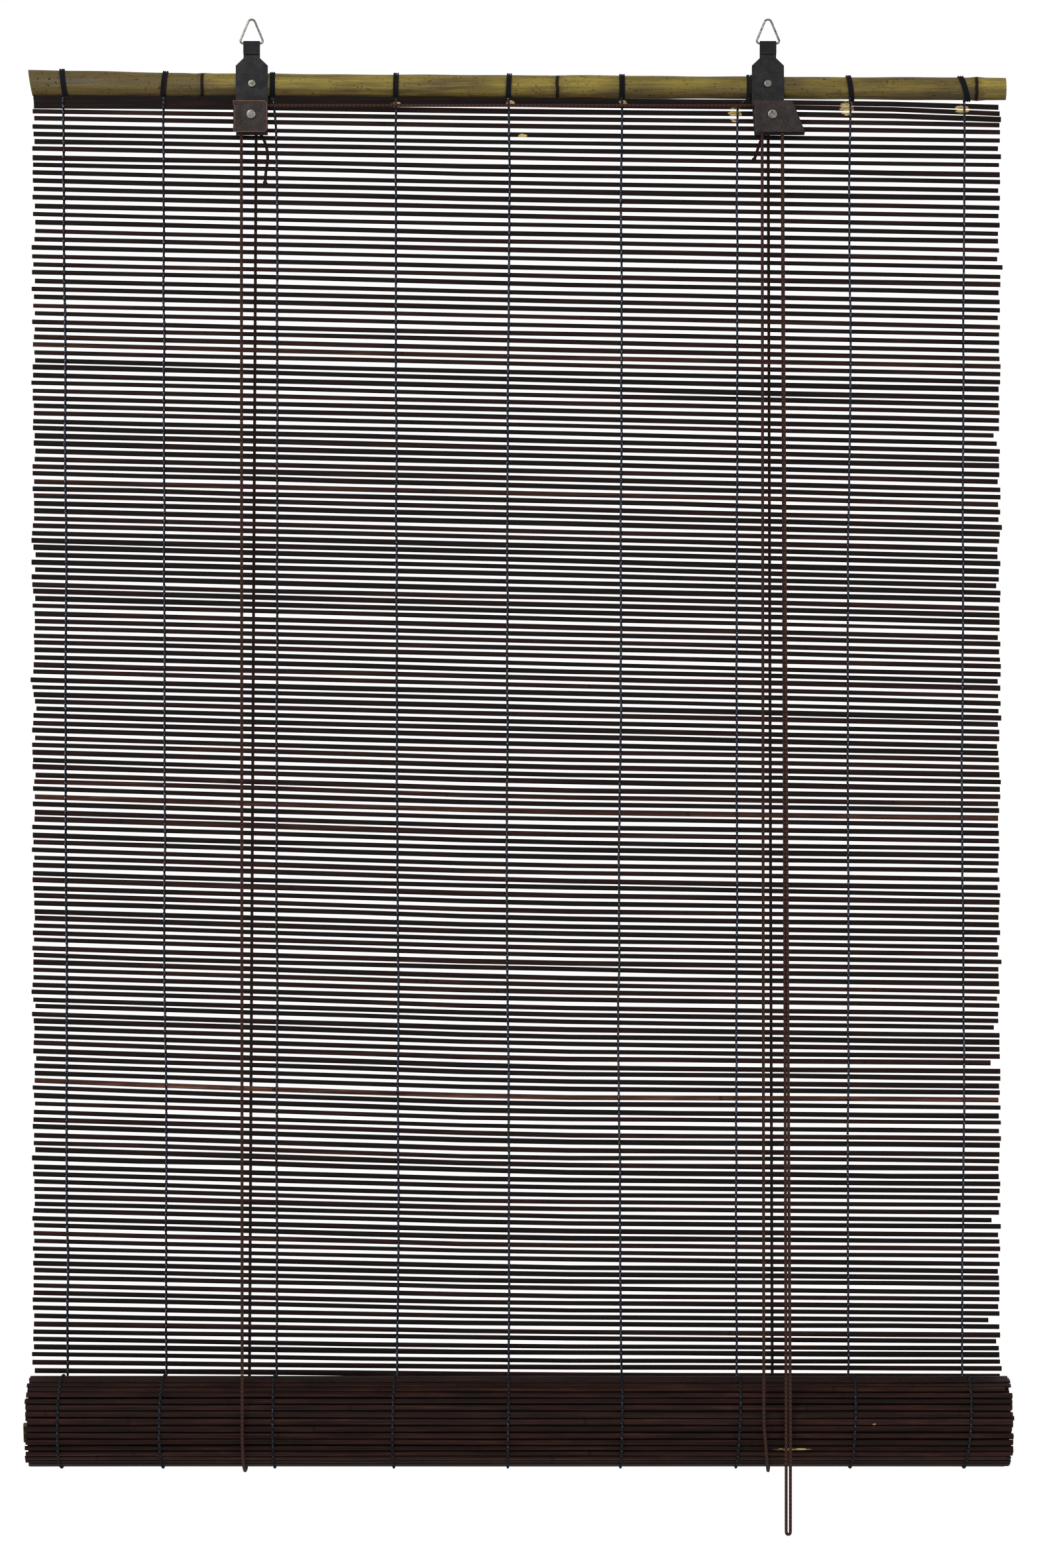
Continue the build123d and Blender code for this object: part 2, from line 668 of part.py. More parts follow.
# Pull cord: two strands from the lock to the front of the roll, and the loop that hangs in front of it
pull_ends = []
for number, groove_y, low_x in ((1, rear_groove_y, pull_rear_x), (2, front_groove_y, pull_front_x)):
    top = (right_sheave_x + sheave_cord_radius, groove_y, lower_rivet_z)
    low_y, low_z, low_angle = front_tangent(groove_y, lower_rivet_z)
    low = (low_x, low_y, low_z)
    straight_cord(f"pull_cord_strand_{number}", short_of(low, top), short_of(top, low))
    pull_ends.append((low, math.degrees(low_angle)))
loop_y = roll_y - loop_radius
turn_radius = (pull_front_x - pull_rear_x) / 2
turn_z = -pull_end_drop + cord_radius + turn_radius
with BuildPart() as pull_cord_loop:
    for low, low_angle in pull_ends:
        with BuildSketch(Plane(origin=(low[0], loop_y, roll_z), z_dir=(0, 0, -1))):
            Circle(cord_radius)
        extrude(amount=roll_z - turn_z)
        with BuildSketch(Plane(origin=(low[0], loop_y, roll_z), z_dir=(0, 0, 1))):
            Circle(cord_radius)
        revolve(axis=Axis((low[0], roll_y, roll_z), (-1, 0, 0)), revolution_arc=180 - low_angle)
    with BuildSketch(Plane(origin=(pull_rear_x, loop_y, turn_z), z_dir=(0, 0, -1))):
        Circle(cord_radius)
    revolve(axis=Axis((pull_rear_x + turn_radius, loop_y, turn_z), (0, -1, 0)), revolution_arc=180)
pull_cord_loop.part.label = "pull_cord_loop"
export_step(pull_cord_loop.part, "parts/pull_cord_loop.step")
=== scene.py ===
"""Bamboo roll up blind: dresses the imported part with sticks, threads, cords and finishes, and lights it."""
from __future__ import annotations

import json
import logging
import math
from dataclasses import dataclass, field
from enum import Enum
from typing import Iterable, Sequence

import bpy
import numpy as np
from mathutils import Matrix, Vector

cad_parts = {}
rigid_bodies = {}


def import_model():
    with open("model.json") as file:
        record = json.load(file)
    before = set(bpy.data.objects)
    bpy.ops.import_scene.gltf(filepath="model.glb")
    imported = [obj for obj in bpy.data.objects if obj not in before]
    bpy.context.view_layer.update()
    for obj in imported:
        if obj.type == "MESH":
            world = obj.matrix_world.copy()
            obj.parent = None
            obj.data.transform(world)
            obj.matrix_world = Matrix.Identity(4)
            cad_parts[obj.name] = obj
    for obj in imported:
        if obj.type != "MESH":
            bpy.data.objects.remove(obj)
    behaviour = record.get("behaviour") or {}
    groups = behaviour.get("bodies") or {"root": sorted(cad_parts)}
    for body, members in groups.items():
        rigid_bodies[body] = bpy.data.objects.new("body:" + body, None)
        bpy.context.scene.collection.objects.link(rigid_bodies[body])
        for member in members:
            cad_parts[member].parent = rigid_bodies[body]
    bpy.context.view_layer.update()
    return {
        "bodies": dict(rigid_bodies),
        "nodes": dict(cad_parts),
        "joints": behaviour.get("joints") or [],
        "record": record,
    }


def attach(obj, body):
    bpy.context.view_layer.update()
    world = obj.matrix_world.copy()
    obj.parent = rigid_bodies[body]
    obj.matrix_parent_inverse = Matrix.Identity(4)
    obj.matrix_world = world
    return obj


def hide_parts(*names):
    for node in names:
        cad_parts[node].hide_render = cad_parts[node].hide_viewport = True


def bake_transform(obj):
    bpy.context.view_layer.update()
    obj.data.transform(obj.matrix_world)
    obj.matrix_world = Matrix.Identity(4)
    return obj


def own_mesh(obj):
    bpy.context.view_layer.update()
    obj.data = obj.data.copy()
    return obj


LOG = logging.getLogger("bamboo_blind")
MM = 0.001
Point = tuple[float, float, float]
Colour = tuple[float, float, float]
Pair = tuple[float, float]
Stops = tuple[tuple[float, Colour], ...]
Stretch = tuple[float, float, float, float]
Piece = bpy.types.Object
Finish = bpy.types.Material
Socket = bpy.types.NodeSocket


class Slot(Enum):
    """Finishes that the part's record names."""

    STICKS = "stained_bamboo"
    RAIL = "natural_bamboo"
    THREAD = "warp_thread"
    CORD = "lift_cord"
    BRACKET = "bronzed_sheet"
    NICKEL = "nickel"
    SHEAVE = "sheave_plastic"


class Body(Enum):
    """Bodies that pieces ride on."""

    HEAD = "head"
    ROLL = "roll"
    LOOPS = "lift_loops"


class Side(Enum):
    """Sides of the blind, as seen from the front."""

    LEFT = "left"
    RIGHT = "right"


class Lay(Enum):
    """How a length of cord lies."""

    TAUT = "taut"
    HANGING = "hanging"


class FarEnd(Enum):
    """What a length of cord ends in."""

    OBJECT = "object"
    KNOT = "knot"


class Weave(Enum):
    """Columns of the weave's table, after the height."""

    PITCH = 1
    GIRTH = 2


def linear(red: float, green: float, blue: float) -> tuple[float, float, float, float]:
    """Turns a screen colour of 0 to 255 into the linear colour that shaders take.

    Args:
        red: Red, 0 to 255.
        green: Green, 0 to 255.
        blue: Blue, 0 to 255.

    Returns:
        Linear red, green and blue, with an alpha of 1.
    """
    levels = []
    for value in (red, green, blue):
        share = value / 255
        levels.append(share / 12.92 if share <= 0.04045 else ((share + 0.055) / 1.055) ** 2.4)
    return (levels[0], levels[1], levels[2], 1.0)


def deselect_all() -> None:
    """Leaves nothing selected."""
    bpy.ops.object.select_all(action="DESELECT")


def activate(piece: Piece) -> None:
    """Makes a piece the only selected and active one.

    Args:
        piece: The piece to work on.
    """
    deselect_all()
    piece.select_set(True)
    bpy.context.view_layer.objects.active = piece


def name_new(name: str) -> Piece:
    """Names the piece that an operator has just added, and its mesh.

    Args:
        name: The piece's name.

    Returns:
        The piece.
    """
    piece = bpy.context.active_object
    piece.name = name
    piece.data.name = name
    return piece


def add_object(name: str, data: bpy.types.ID) -> Piece:
    """Puts new data into the scene.

    Args:
        name: Name of the object.
        data: Its mesh, curve, lamp or camera.

    Returns:
        The object.
    """
    added = bpy.data.objects.new(name, data)
    bpy.context.scene.collection.objects.link(added)
    return added


def vertex_places(piece: Piece) -> np.ndarray:
    """Reads the places of a piece's vertices.

    Args:
        piece: A mesh piece.

    Returns:
        An array of one row per vertex.
    """
    places = np.zeros(len(piece.data.vertices) * 3)
    piece.data.vertices.foreach_get("co", places)
    return places.reshape(-1, 3)


def place_vertices(piece: Piece, places: np.ndarray) -> None:
    """Moves a piece's vertices.

    Args:
        piece: A mesh piece.
        places: One row per vertex, in metres.
    """
    piece.data.vertices.foreach_set("co", np.ascontiguousarray(places, dtype=np.float32).ravel())
    piece.data.update()


def smooth(piece: Piece, degrees: float) -> None:
    """Shades a piece smooth, with a hard edge where faces turn by more than an angle.

    Args:
        piece: A mesh piece.
        degrees: The angle.
    """
    activate(piece)
    bpy.ops.object.shade_smooth_by_angle(angle=math.radians(degrees))


def clear_picks(piece: Piece, kind: str) -> None:
    """Leaves no edge or face of a piece selected, so that some can be selected by their place.

    Args:
        piece: A mesh piece.
        kind: What will be selected, EDGE or FACE.
    """
    activate(piece)
    bpy.ops.object.mode_set(mode="EDIT")
    bpy.ops.mesh.select_mode(type=kind)
    bpy.ops.mesh.select_all(action="DESELECT")
    bpy.ops.object.mode_set(mode="OBJECT")


def cut_rod(name: str, sides: int, radius: float, cuts: int) -> Piece:
    """Adds a rod of unit length along X and cuts it across.

    Args:
        name: Name of the piece.
        sides: How many sides it has.
        radius: Its radius.
        cuts: How many cuts.

    Returns:
        The piece.
    """
    length = 1.0
    deselect_all()
    bpy.ops.mesh.primitive_cylinder_add(vertices=sides, radius=radius, depth=length, end_fill_type="NGON",
                                        rotation=(0, math.pi / 2, 0))
    piece = name_new(name)
    bpy.ops.object.transform_apply(location=False, rotation=True, scale=False)
    clear_picks(piece, "EDGE")
    ends = vertex_places(piece)
    for edge in piece.data.edges:
        first, second = edge.vertices
        edge.select = bool(abs(ends[first, 0] - ends[second, 0]) > length / 2)
    bpy.ops.object.mode_set(mode="EDIT")
    bpy.ops.mesh.subdivide(number_cuts=cuts)
    bpy.ops.object.mode_set(mode="OBJECT")
    return piece


def add_spline(line: bpy.types.Curve, run: Sequence[Point], order: int, closed: bool) -> None:
    """Adds a spline to a line.

    Args:
        line: The line.
        run: Points of the spline, in millimetres.
        order: Order of the spline.
        closed: Whether it joins its own end.
    """
    spline = line.splines.new("NURBS")
    spline.points.add(len(run) - 1)
    for knot, at in zip(spline.points, run):
        knot.co = (at[0] * MM, at[1] * MM, at[2] * MM, 1.0)
    spline.order_u = order
    spline.use_endpoint_u = not closed
    spline.use_cyclic_u = closed


def dress(piece: Piece, body: str | None, finishes: Sequence[Finish]) -> None:
    """Gives a piece its finish and the body that it moves with.

    Args:
        piece: The piece.
        body: Name of the body, or None for a piece that rides on no body.
        finishes: Materials in the order of the piece's slots.
    """
    piece.data.materials.clear()
    for finish in finishes:
        piece.data.materials.append(finish)
    if body is not None:
        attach(piece, body)


@dataclass(frozen=True)
class Grain:
    """One pattern of noise: cells a metre, octaves, share of each finer octave, and shift in cells."""

    scale: Point
    detail: float = 3.0
    rough: float = 0.55
    offset: Point = (0, 0, 0)


class FinishTree:
    """Node tree of one finish, with short calls for the nodes that the finishes use."""

    usual_noise: Pair = (0.3, 0.7)
    spot_core: float = 0.2

    def __init__(self, name: str) -> None:
        """Starts a material that has only its shader.

        Args:
            name: Name of the material.
        """
        self.material = bpy.data.materials.new(name)
        self.material.use_nodes = True
        self.nodes = self.material.node_tree.nodes
        self.links = self.material.node_tree.links
        self.shader = self.nodes["Principled BSDF"]
        self.object_place = self.nodes.new("ShaderNodeTexCoord")

    def feed(self, socket: Socket, value: object) -> None:
        """Links a socket to another, or sets its value.

        Args:
            socket: The input.
            value: A socket, a number or a vector.
        """
        if isinstance(value, bpy.types.NodeSocket):
            self.links.new(value, socket)
        else:
            socket.default_value = value

    def place(self, scale: Point, offset: Point) -> Socket:
        """Object coordinates, scaled and shifted.

        Args:
            scale: Scale on each axis.
            offset: Shift on each axis, after the scale.

        Returns:
            The vector.
        """
        mapping = self.nodes.new("ShaderNodeMapping")
        mapping.inputs["Scale"].default_value = scale
        mapping.inputs["Location"].default_value = offset
        self.links.new(self.object_place.outputs["Object"], mapping.inputs["Vector"])
        return mapping.outputs["Vector"]

    def noise(self, grain: Grain) -> Socket:
        """Noise on Object coordinates.

        Args:
            grain: Its pattern.

        Returns:
            The noise, about 0.5.
        """
        node = self.nodes.new("ShaderNodeTexNoise")
        node.inputs["Scale"].default_value = 1.0
        node.inputs["Detail"].default_value = grain.detail
        node.inputs["Roughness"].default_value = grain.rough
        self.links.new(self.place(grain.scale, grain.offset), node.inputs["Vector"])
        return node.outputs["Fac"]

    def math(self, operation: str, *values: object) -> Socket:
        """One step of arithmetic.

        Args:
            operation: Name of the Math node's operation.
            values: Sockets or numbers.

        Returns:
            The result.
        """
        node = self.nodes.new("ShaderNodeMath")
        node.operation = operation
        for socket, value in zip(node.inputs, values):
            self.feed(socket, value)
        return node.outputs[0]

    def vary(self, value: object, noise: Socket, share: float) -> Socket:
        """Moves a value up and down with noise.

        Args:
            value: A socket or a number.
            noise: The noise, about 0.5.
            share: How far noise of 1 more moves it.

        Returns:
            The result.
        """
        return self.math("MULTIPLY_ADD", self.math("SUBTRACT", noise, 0.5), share, value)

    def span(self, value: Socket, low: float, high: float, to_low: float = 0.0,
             to_high: float = 1.0) -> Socket:
        """Stretches a range of values onto another one, and clips it.

        Args:
            value: What is stretched.
            low: Value that becomes to_low.
            high: Value that becomes to_high.
            to_low: Result at low.
            to_high: Result at high.

        Returns:
            The result.
        """
        node = self.nodes.new("ShaderNodeMapRange")
        for name, number in (("From Min", low), ("From Max", high), ("To Min", to_low), ("To Max", to_high)):
            node.inputs[name].default_value = number
        self.links.new(value, node.inputs["Value"])
        return node.outputs["Result"]

    def uneven(self, noise: Socket, low: float, high: float) -> Socket:
        """Stretches the usual range of noise onto a range of values.

        Args:
            noise: The noise.
            low: Least value.
            high: Greatest value.

        Returns:
            The result.
        """
        return self.span(noise, *self.usual_noise, low, high)

    def ramp(self, value: Socket, stops: Stops) -> Socket:
        """Colours along a value.

        Args:
            value: 0 to 1.
            stops: Places and screen colours.

        Returns:
            The colour.
        """
        node = self.nodes.new("ShaderNodeValToRGB")
        elements = node.color_ramp.elements
        while len(elements) < len(stops):
            elements.new(0.5)
        for element, (stop, colour) in zip(elements, stops):
            element.position = stop
            element.color = linear(*colour)
        self.links.new(value, node.inputs["Fac"])
        return node.outputs["Color"]

    def mix(self, share: Socket, under: Socket, over: Colour | Socket) -> Socket:
        """Lays one colour over another.

        Args:
            share: How much of the upper one shows.
            under: Lower colour.
            over: Upper colour, from the tree or as a screen colour.

        Returns:
            The colour.
        """
        node = self.nodes.new("ShaderNodeMix")
        node.data_type = "RGBA"
        self.feed(node.inputs["Factor"], share)
        self.feed(node.inputs[6], under)
        self.feed(node.inputs[7], linear(*over) if isinstance(over, tuple) else over)
        return node.outputs[2]

    def attribute(self, name: str) -> Socket:
        """A value that the piece's vertices carry.

        Args:
            name: Name of the attribute.

        Returns:
            The value.
        """
        node = self.nodes.new("ShaderNodeAttribute")
        node.attribute_name = name
        return node.outputs["Fac"]

    def axis(self, name: str, source: str = "Object") -> Socket:
        """One coordinate of the surface.

        Args:
            name: X, Y or Z.
            source: Object, or UV for the piece's own map.

        Returns:
            The coordinate.
        """
        node = self.nodes.new("ShaderNodeSeparateXYZ")
        self.links.new(self.object_place.outputs[source], node.inputs[0])
        return node.outputs[name]

    def spot(self, middle: Point, reach: Point) -> Socket:
        """A soft patch about a point.

        Args:
            middle: The point, in metres.
            reach: Half sizes of the patch, in metres.

        Returns:
            1 in the middle, down to 0 at its rim.
        """
        scale = tuple(1 / size for size in reach)
        offset = tuple(-at / size for at, size in zip(middle, reach))
        length = self.nodes.new("ShaderNodeVectorMath")
        length.operation = "LENGTH"
        self.links.new(self.place(scale, offset), length.inputs[0])
        return self.span(length.outputs["Value"], 1.0, self.spot_core)

    def relief(self, height: Socket, depth: float, strength: float) -> None:
        """Raises the surface by a value.

        Args:
            height: 0 to 1.
            depth: Height of 1, in metres.
            strength: How much of it shows.
        """
        bump = self.nodes.new("ShaderNodeBump")
        bump.inputs["Strength"].default_value = strength
        bump.inputs["Distance"].default_value = depth
        self.links.new(height, bump.inputs["Height"])
        self.links.new(bump.outputs["Normal"], self.shader.inputs["Normal"])

    def set(self, **values: object) -> None:
        """Feeds sockets of the shader, with underscores for the spaces in their names.

        Args:
            values: A socket, number or colour for each name.
        """
        for name, value in values.items():
            self.feed(self.shader.inputs[name.replace("_", " ")], value)


@dataclass(frozen=True)
class StainedBamboo:
    """Dark stained split sticks: streaks along each stick, a tone of its own, and a few bare scuffs."""

    name: str = "stained_bamboo"
    stops: Stops = ((0.10, (15, 8, 6)), (0.38, (38, 19, 15)), (0.62, (66, 39, 31)), (0.92, (122, 82, 62)))
    bare: Colour = (196, 168, 104)
    streak: Grain = Grain((9, 420, 420), 4.0, 0.6)
    fibre: Grain = Grain((70, 2600, 2600), 2.0)
    line: Grain = Grain((16, 1250, 1250), 4.0, 0.7, (0.7, 0.2, 0.9))
    blotch: Grain = Grain((26, 26, 170), 2.0)
    frayed: Grain = Grain((190, 900, 900), 3.0, 0.6, (0.3, 1.1, 2.3))
    base: float = -0.28
    streak_share: float = 0.80
    tone_share: float = 0.46
    fibre_share: float = 0.45
    line_share: float = 0.85
    blotch_share: float = 0.45
    node_beat: float = 0.37
    node_spread: float = 9.0
    node_half: float = 0.0022
    node_core: float = 0.3
    node_share: float = 0.7
    node_depth: float = 0.5
    fray: float = 4.5
    torn: Pair = (0.30, 0.50)
    bare_fibre: Pair = (0.34, 0.50)
    roughness: Pair = (0.46, 0.66)
    shine: float = 0.09
    line_height: float = 0.6
    bump: Pair = (0.0007, 0.8)
    scuffs: tuple[tuple[Point, Point], ...] = (
        ((-0.1000, -0.0045, -0.0150), (0.0060, 0.004, 0.0030)),
        ((-0.0050, -0.0045, -0.0140), (0.0050, 0.004, 0.0030)),
        ((0.0880, -0.0045, -0.0140), (0.0050, 0.004, 0.0030)),
        ((0.1810, -0.0045, -0.0225), (0.0075, 0.005, 0.0098)),
        ((0.2735, -0.0045, -0.0185), (0.0078, 0.005, 0.0076)),
        ((0.3690, -0.0045, -0.0195), (0.0080, 0.005, 0.0052)),
        ((0.0052, -0.0045, -0.0412), (0.0050, 0.004, 0.0024)),
        ((0.2895, -0.0805, -1.0968), (0.0034, 0.006, 0.0022)),
        ((0.2235, -0.0780, -1.1172), (0.0250, 0.010, 0.0019)),
    )

    def node_marks(self, tree: FinishTree, tone: Socket) -> Socket:
        """Dark marks of the culm's nodes, at other places on each stick.

        Args:
            tree: The finish.
            tone: The stick's own tone.

        Returns:
            1 on a mark, 0 elsewhere.
        """
        beat = tree.math("MULTIPLY_ADD", tone, self.node_spread, tree.axis("X"))
        share = tree.math("FRACT", tree.math("DIVIDE", beat, self.node_beat))
        away = tree.math("ABSOLUTE", tree.math("SUBTRACT", share, 0.5))
        half = self.node_half / self.node_beat
        return tree.span(away, half, half * self.node_core)

    def scuffed(self, tree: FinishTree, colour: Socket, fibre: Socket) -> Socket:
        """Bares the wood in a few frayed patches.

        Args:
            tree: The finish.
            colour: The stained colour.
            fibre: Noise of the fibres.

        Returns:
            The colour with its scuffs.
        """
        rough = tree.vary(1.0, tree.noise(self.frayed), self.fray)
        shown = tree.span(fibre, *self.bare_fibre)
        for middle, reach in self.scuffs:
            torn = tree.span(tree.math("MULTIPLY", tree.spot(middle, reach), rough), *self.torn)
            colour = tree.mix(tree.math("MULTIPLY", torn, shown), colour, self.bare)
        return colour

    def make(self) -> Finish:
        """Builds the material.

        Returns:
            The material.
        """
        tree = FinishTree(self.name)
        fibre = tree.noise(self.fibre)
        line = tree.noise(self.line)
        tone = tree.attribute("stick_tone")
        value = tree.math("MULTIPLY_ADD", tree.noise(self.streak), self.streak_share, self.base)
        value = tree.math("MULTIPLY_ADD", tone, self.tone_share, value)
        value = tree.vary(value, fibre, self.fibre_share)
        value = tree.vary(value, line, self.line_share)
        value = tree.vary(value, tree.noise(self.blotch), self.blotch_share)
        mark = self.node_marks(tree, tone)
        darkest = self.stops[0][1]
        colour = tree.mix(tree.math("MULTIPLY", mark, self.node_share), tree.ramp(value, self.stops), darkest)
        tree.set(Base_Color=self.scuffed(tree, colour, fibre), Roughness=tree.uneven(fibre, *self.roughness),
                 Specular_IOR_Level=self.shine)
        fine = tree.math("MULTIPLY", fibre, 1 - self.line_height)
        grain = tree.math("MULTIPLY_ADD", line, self.line_height, fine)
        tree.relief(tree.math("SUBTRACT", grain, tree.math("MULTIPLY", mark, self.node_depth)), *self.bump)
        return tree.material


@dataclass(frozen=True)
class CulmSkin:
    """Bare bamboo skin of the rail: olive and straw streaks, dark specks, a dark ring at each node, and a
    painted shade along the lower edge.
    """

    name: str = "culm_skin"
    stops: Stops = (
        (0.22, (58, 45, 12)), (0.42, (98, 82, 25)), (0.58, (124, 108, 38)), (0.80, (152, 136, 60)))
    speck: Colour = (42, 29, 16)
    weathered: Colour = (60, 44, 14)
    ring: Colour = (22, 12, 6)
    streak: Grain = Grain((7, 260, 260), 5.0, 0.62)
    cloud: Grain = Grain((22, 60, 60))
    fibre: Grain = Grain((28, 1500, 1500), 4.0, 0.7)
    dots: Grain = Grain((340, 560, 560), 4.0, 0.6)
    dotted: Grain = Grain((30, 90, 90), 2.0, offset=(3.1, 0.7, 1.9))
    slashes: Grain = Grain((16, 700, 700), 3.0, 0.7, (1.3, 4.2, 0.4))
    wander: Grain = Grain((40, 160, 160), 2.0)
    base: float = -0.20
    streak_share: float = 0.75
    cloud_share: float = 0.60
    fibre_share: float = 0.7
    # Steps added to the value along an axis: the one along Z is a painted shade that darkens the lower edge;
    # the two along X darken the right part and lighten the right end.
    tone_steps_and_painted_shade: tuple[tuple[str, Stretch], ...] = (
        ("Z", (-0.0095, -0.001, -0.22, 0.0)),
        ("X", (0.08, 0.24, 0.0, -0.09)),
        ("X", (0.380, 0.382, 0.0, 0.17)),
    )
    weathered_from: float = -0.259
    weathered_fade: float = 0.004
    weathered_share: float = 0.74
    weathered_cloud: Stretch = (0.3, 0.6, 0.5, 1.0)
    dot: Pair = (0.59, 0.66)
    dotted_part: Pair = (0.34, 0.56)
    dot_share: float = 0.85
    slash: Stretch = (0.66, 0.74, 0.0, 0.7)
    ring_places: tuple[float, ...] = ()
    ring_half: float = 0.0018
    ring_core: float = 0.6
    ring_share: float = 0.95
    ring_wander: float = 0.002
    halo: float = 3.6
    halo_share: float = 0.4
    roughness: Pair = (0.40, 0.58)
    shine: Pair = (0.35, 0.05)
    bump: Pair = (0.0004, 0.5)

    def skin(self, tree: FinishTree, streak: Socket, cloud: Socket, fibre: Socket) -> Socket:
        """Streaked skin, with a painted shade along its lower edge, and weathered at its left end.

        Args:
            tree: The finish.
            streak: Noise of the streaks.
            cloud: Noise of the broad patches.
            fibre: Noise of the fibres.

        Returns:
            The colour.
        """
        value = tree.math("MULTIPLY_ADD", cloud, self.cloud_share, self.base)
        value = tree.math("MULTIPLY_ADD", streak, self.streak_share, value)
        value = tree.vary(value, fibre, self.fibre_share)
        # The step along Z paints shade on the lower edge.
        for axis, stretch in self.tone_steps_and_painted_shade:
            value = tree.math("ADD", value, tree.span(tree.axis(axis), *stretch))
        faded = self.weathered_from - self.weathered_fade
        end = tree.span(tree.axis("X"), self.weathered_from, faded, 0.0, self.weathered_share)
        end = tree.math("MULTIPLY", end, tree.span(cloud, *self.weathered_cloud))
        return tree.mix(end, tree.ramp(value, self.stops), self.weathered)

    def make(self) -> Finish:
        """Builds the material.

        Returns:
            The material.
        """
        tree = FinishTree(self.name)
        streak = tree.noise(self.streak)
        cloud = tree.noise(self.cloud)
        fibre = tree.noise(self.fibre)
        colour = self.skin(tree, streak, cloud, fibre)
        dull = tree.math("MULTIPLY", tree.span(tree.noise(self.dots), *self.dot),
                         tree.span(tree.noise(self.dotted), *self.dotted_part))
        colour = tree.mix(tree.math("MULTIPLY", dull, self.dot_share), colour, self.speck)
        colour = tree.mix(tree.span(tree.noise(self.slashes), *self.slash), colour, self.speck)
        wander = tree.noise(self.wander)
        for x in self.ring_places:
            away = tree.vary(tree.math("SUBTRACT", tree.axis("X"), x), wander, self.ring_wander)
            gap = tree.math("ABSOLUTE", away)
            near = tree.span(gap, self.ring_half * self.halo, self.ring_half, 0.0, self.halo_share)
            line = tree.span(gap, self.ring_half, self.ring_half * self.ring_core, 0.0, self.ring_share)
            colour = tree.mix(line, tree.mix(near, colour, self.speck), self.ring)
            dull = tree.math("MAXIMUM", dull, line)
        tree.set(Base_Color=colour, Roughness=tree.uneven(cloud, *self.roughness),
                 Specular_IOR_Level=tree.span(dull, 0.0, 1.0, *self.shine))
        tree.relief(tree.math("MULTIPLY_ADD", streak, 0.5, tree.math("MULTIPLY", fibre, 0.5)), *self.bump)
        return tree.material


@dataclass(frozen=True)
class TwistedThread:
    """Near black cotton, with a painted highlight of paler specks on its twist where it passes over a stick."""

    name: str = "twisted_thread"
    # The palest stop is the colour of the painted highlight.
    stops: Stops = ((0.22, (11, 12, 16)), (0.42, (19, 21, 27)), (0.80, (98, 105, 120)))
    ply: Grain = Grain((1300, 1300, 620), 2.0)
    fuzz: Grain = Grain((4200, 4200, 2400), 2.0)
    highlight_ply: Pair = (0.46, 0.60)
    base: float = 0.2
    highlight_share: float = 0.6
    fuzz_share: float = 0.5
    roughness: float = 0.85
    shine: float = 0.15
    bump: Pair = (0.0004, 0.7)

    def make(self) -> Finish:
        """Builds the material.

        Returns:
            The material.
        """
        tree = FinishTree(self.name)
        ply = tree.noise(self.ply)
        # Painted highlight: paler specks on the twist where the thread stands proud of a stick.
        over = tree.math("MULTIPLY", tree.attribute("highlight_over_stick"), tree.span(ply, *self.highlight_ply))
        value = tree.math("MULTIPLY_ADD", over, self.highlight_share, self.base)
        value = tree.vary(value, tree.noise(self.fuzz), self.fuzz_share)
        tree.set(Base_Color=tree.ramp(value, self.stops), Roughness=self.roughness,
                 Specular_IOR_Level=self.shine)
        tree.relief(ply, *self.bump)
        return tree.material


@dataclass(frozen=True)
class BraidedCord:
    """Brown braid: columns of paler chevrons, along the cord's own UV map."""

    name: str = "braided_cord"
    stops: Stops = ((0.18, (25, 13, 11)), (0.55, (46, 25, 20)), (0.92, (90, 56, 45)))
    strands: int = 4
    slope: float = 1.5
    fuzz: Grain = Grain((2600, 2600, 2600), 2.0)
    fuzz_share: float = 0.5
    roughness: float = 0.78
    shine: float = 0.2
    bump: Pair = (0.0007, 0.9)

    def make(self) -> Finish:
        """Builds the material.

        Returns:
            The material.
        """
        tree = FinishTree(self.name)
        column = tree.math("FRACT", tree.math("MULTIPLY", tree.axis("X", "UV"), self.strands))
        across = tree.math("ABSOLUTE", tree.math("SUBTRACT", column, 0.5))
        turn = tree.math("MULTIPLY_ADD", across, self.slope, tree.axis("Y", "UV"))
        wave = tree.math("SINE", tree.math("MULTIPLY", turn, math.tau))
        chevron = tree.math("MULTIPLY_ADD", wave, 0.5, 0.5)
        value = tree.vary(chevron, tree.noise(self.fuzz), self.fuzz_share)
        tree.set(Base_Color=tree.ramp(value, self.stops), Roughness=self.roughness,
                 Specular_IOR_Level=self.shine)
        tree.relief(chevron, *self.bump)
        return tree.material


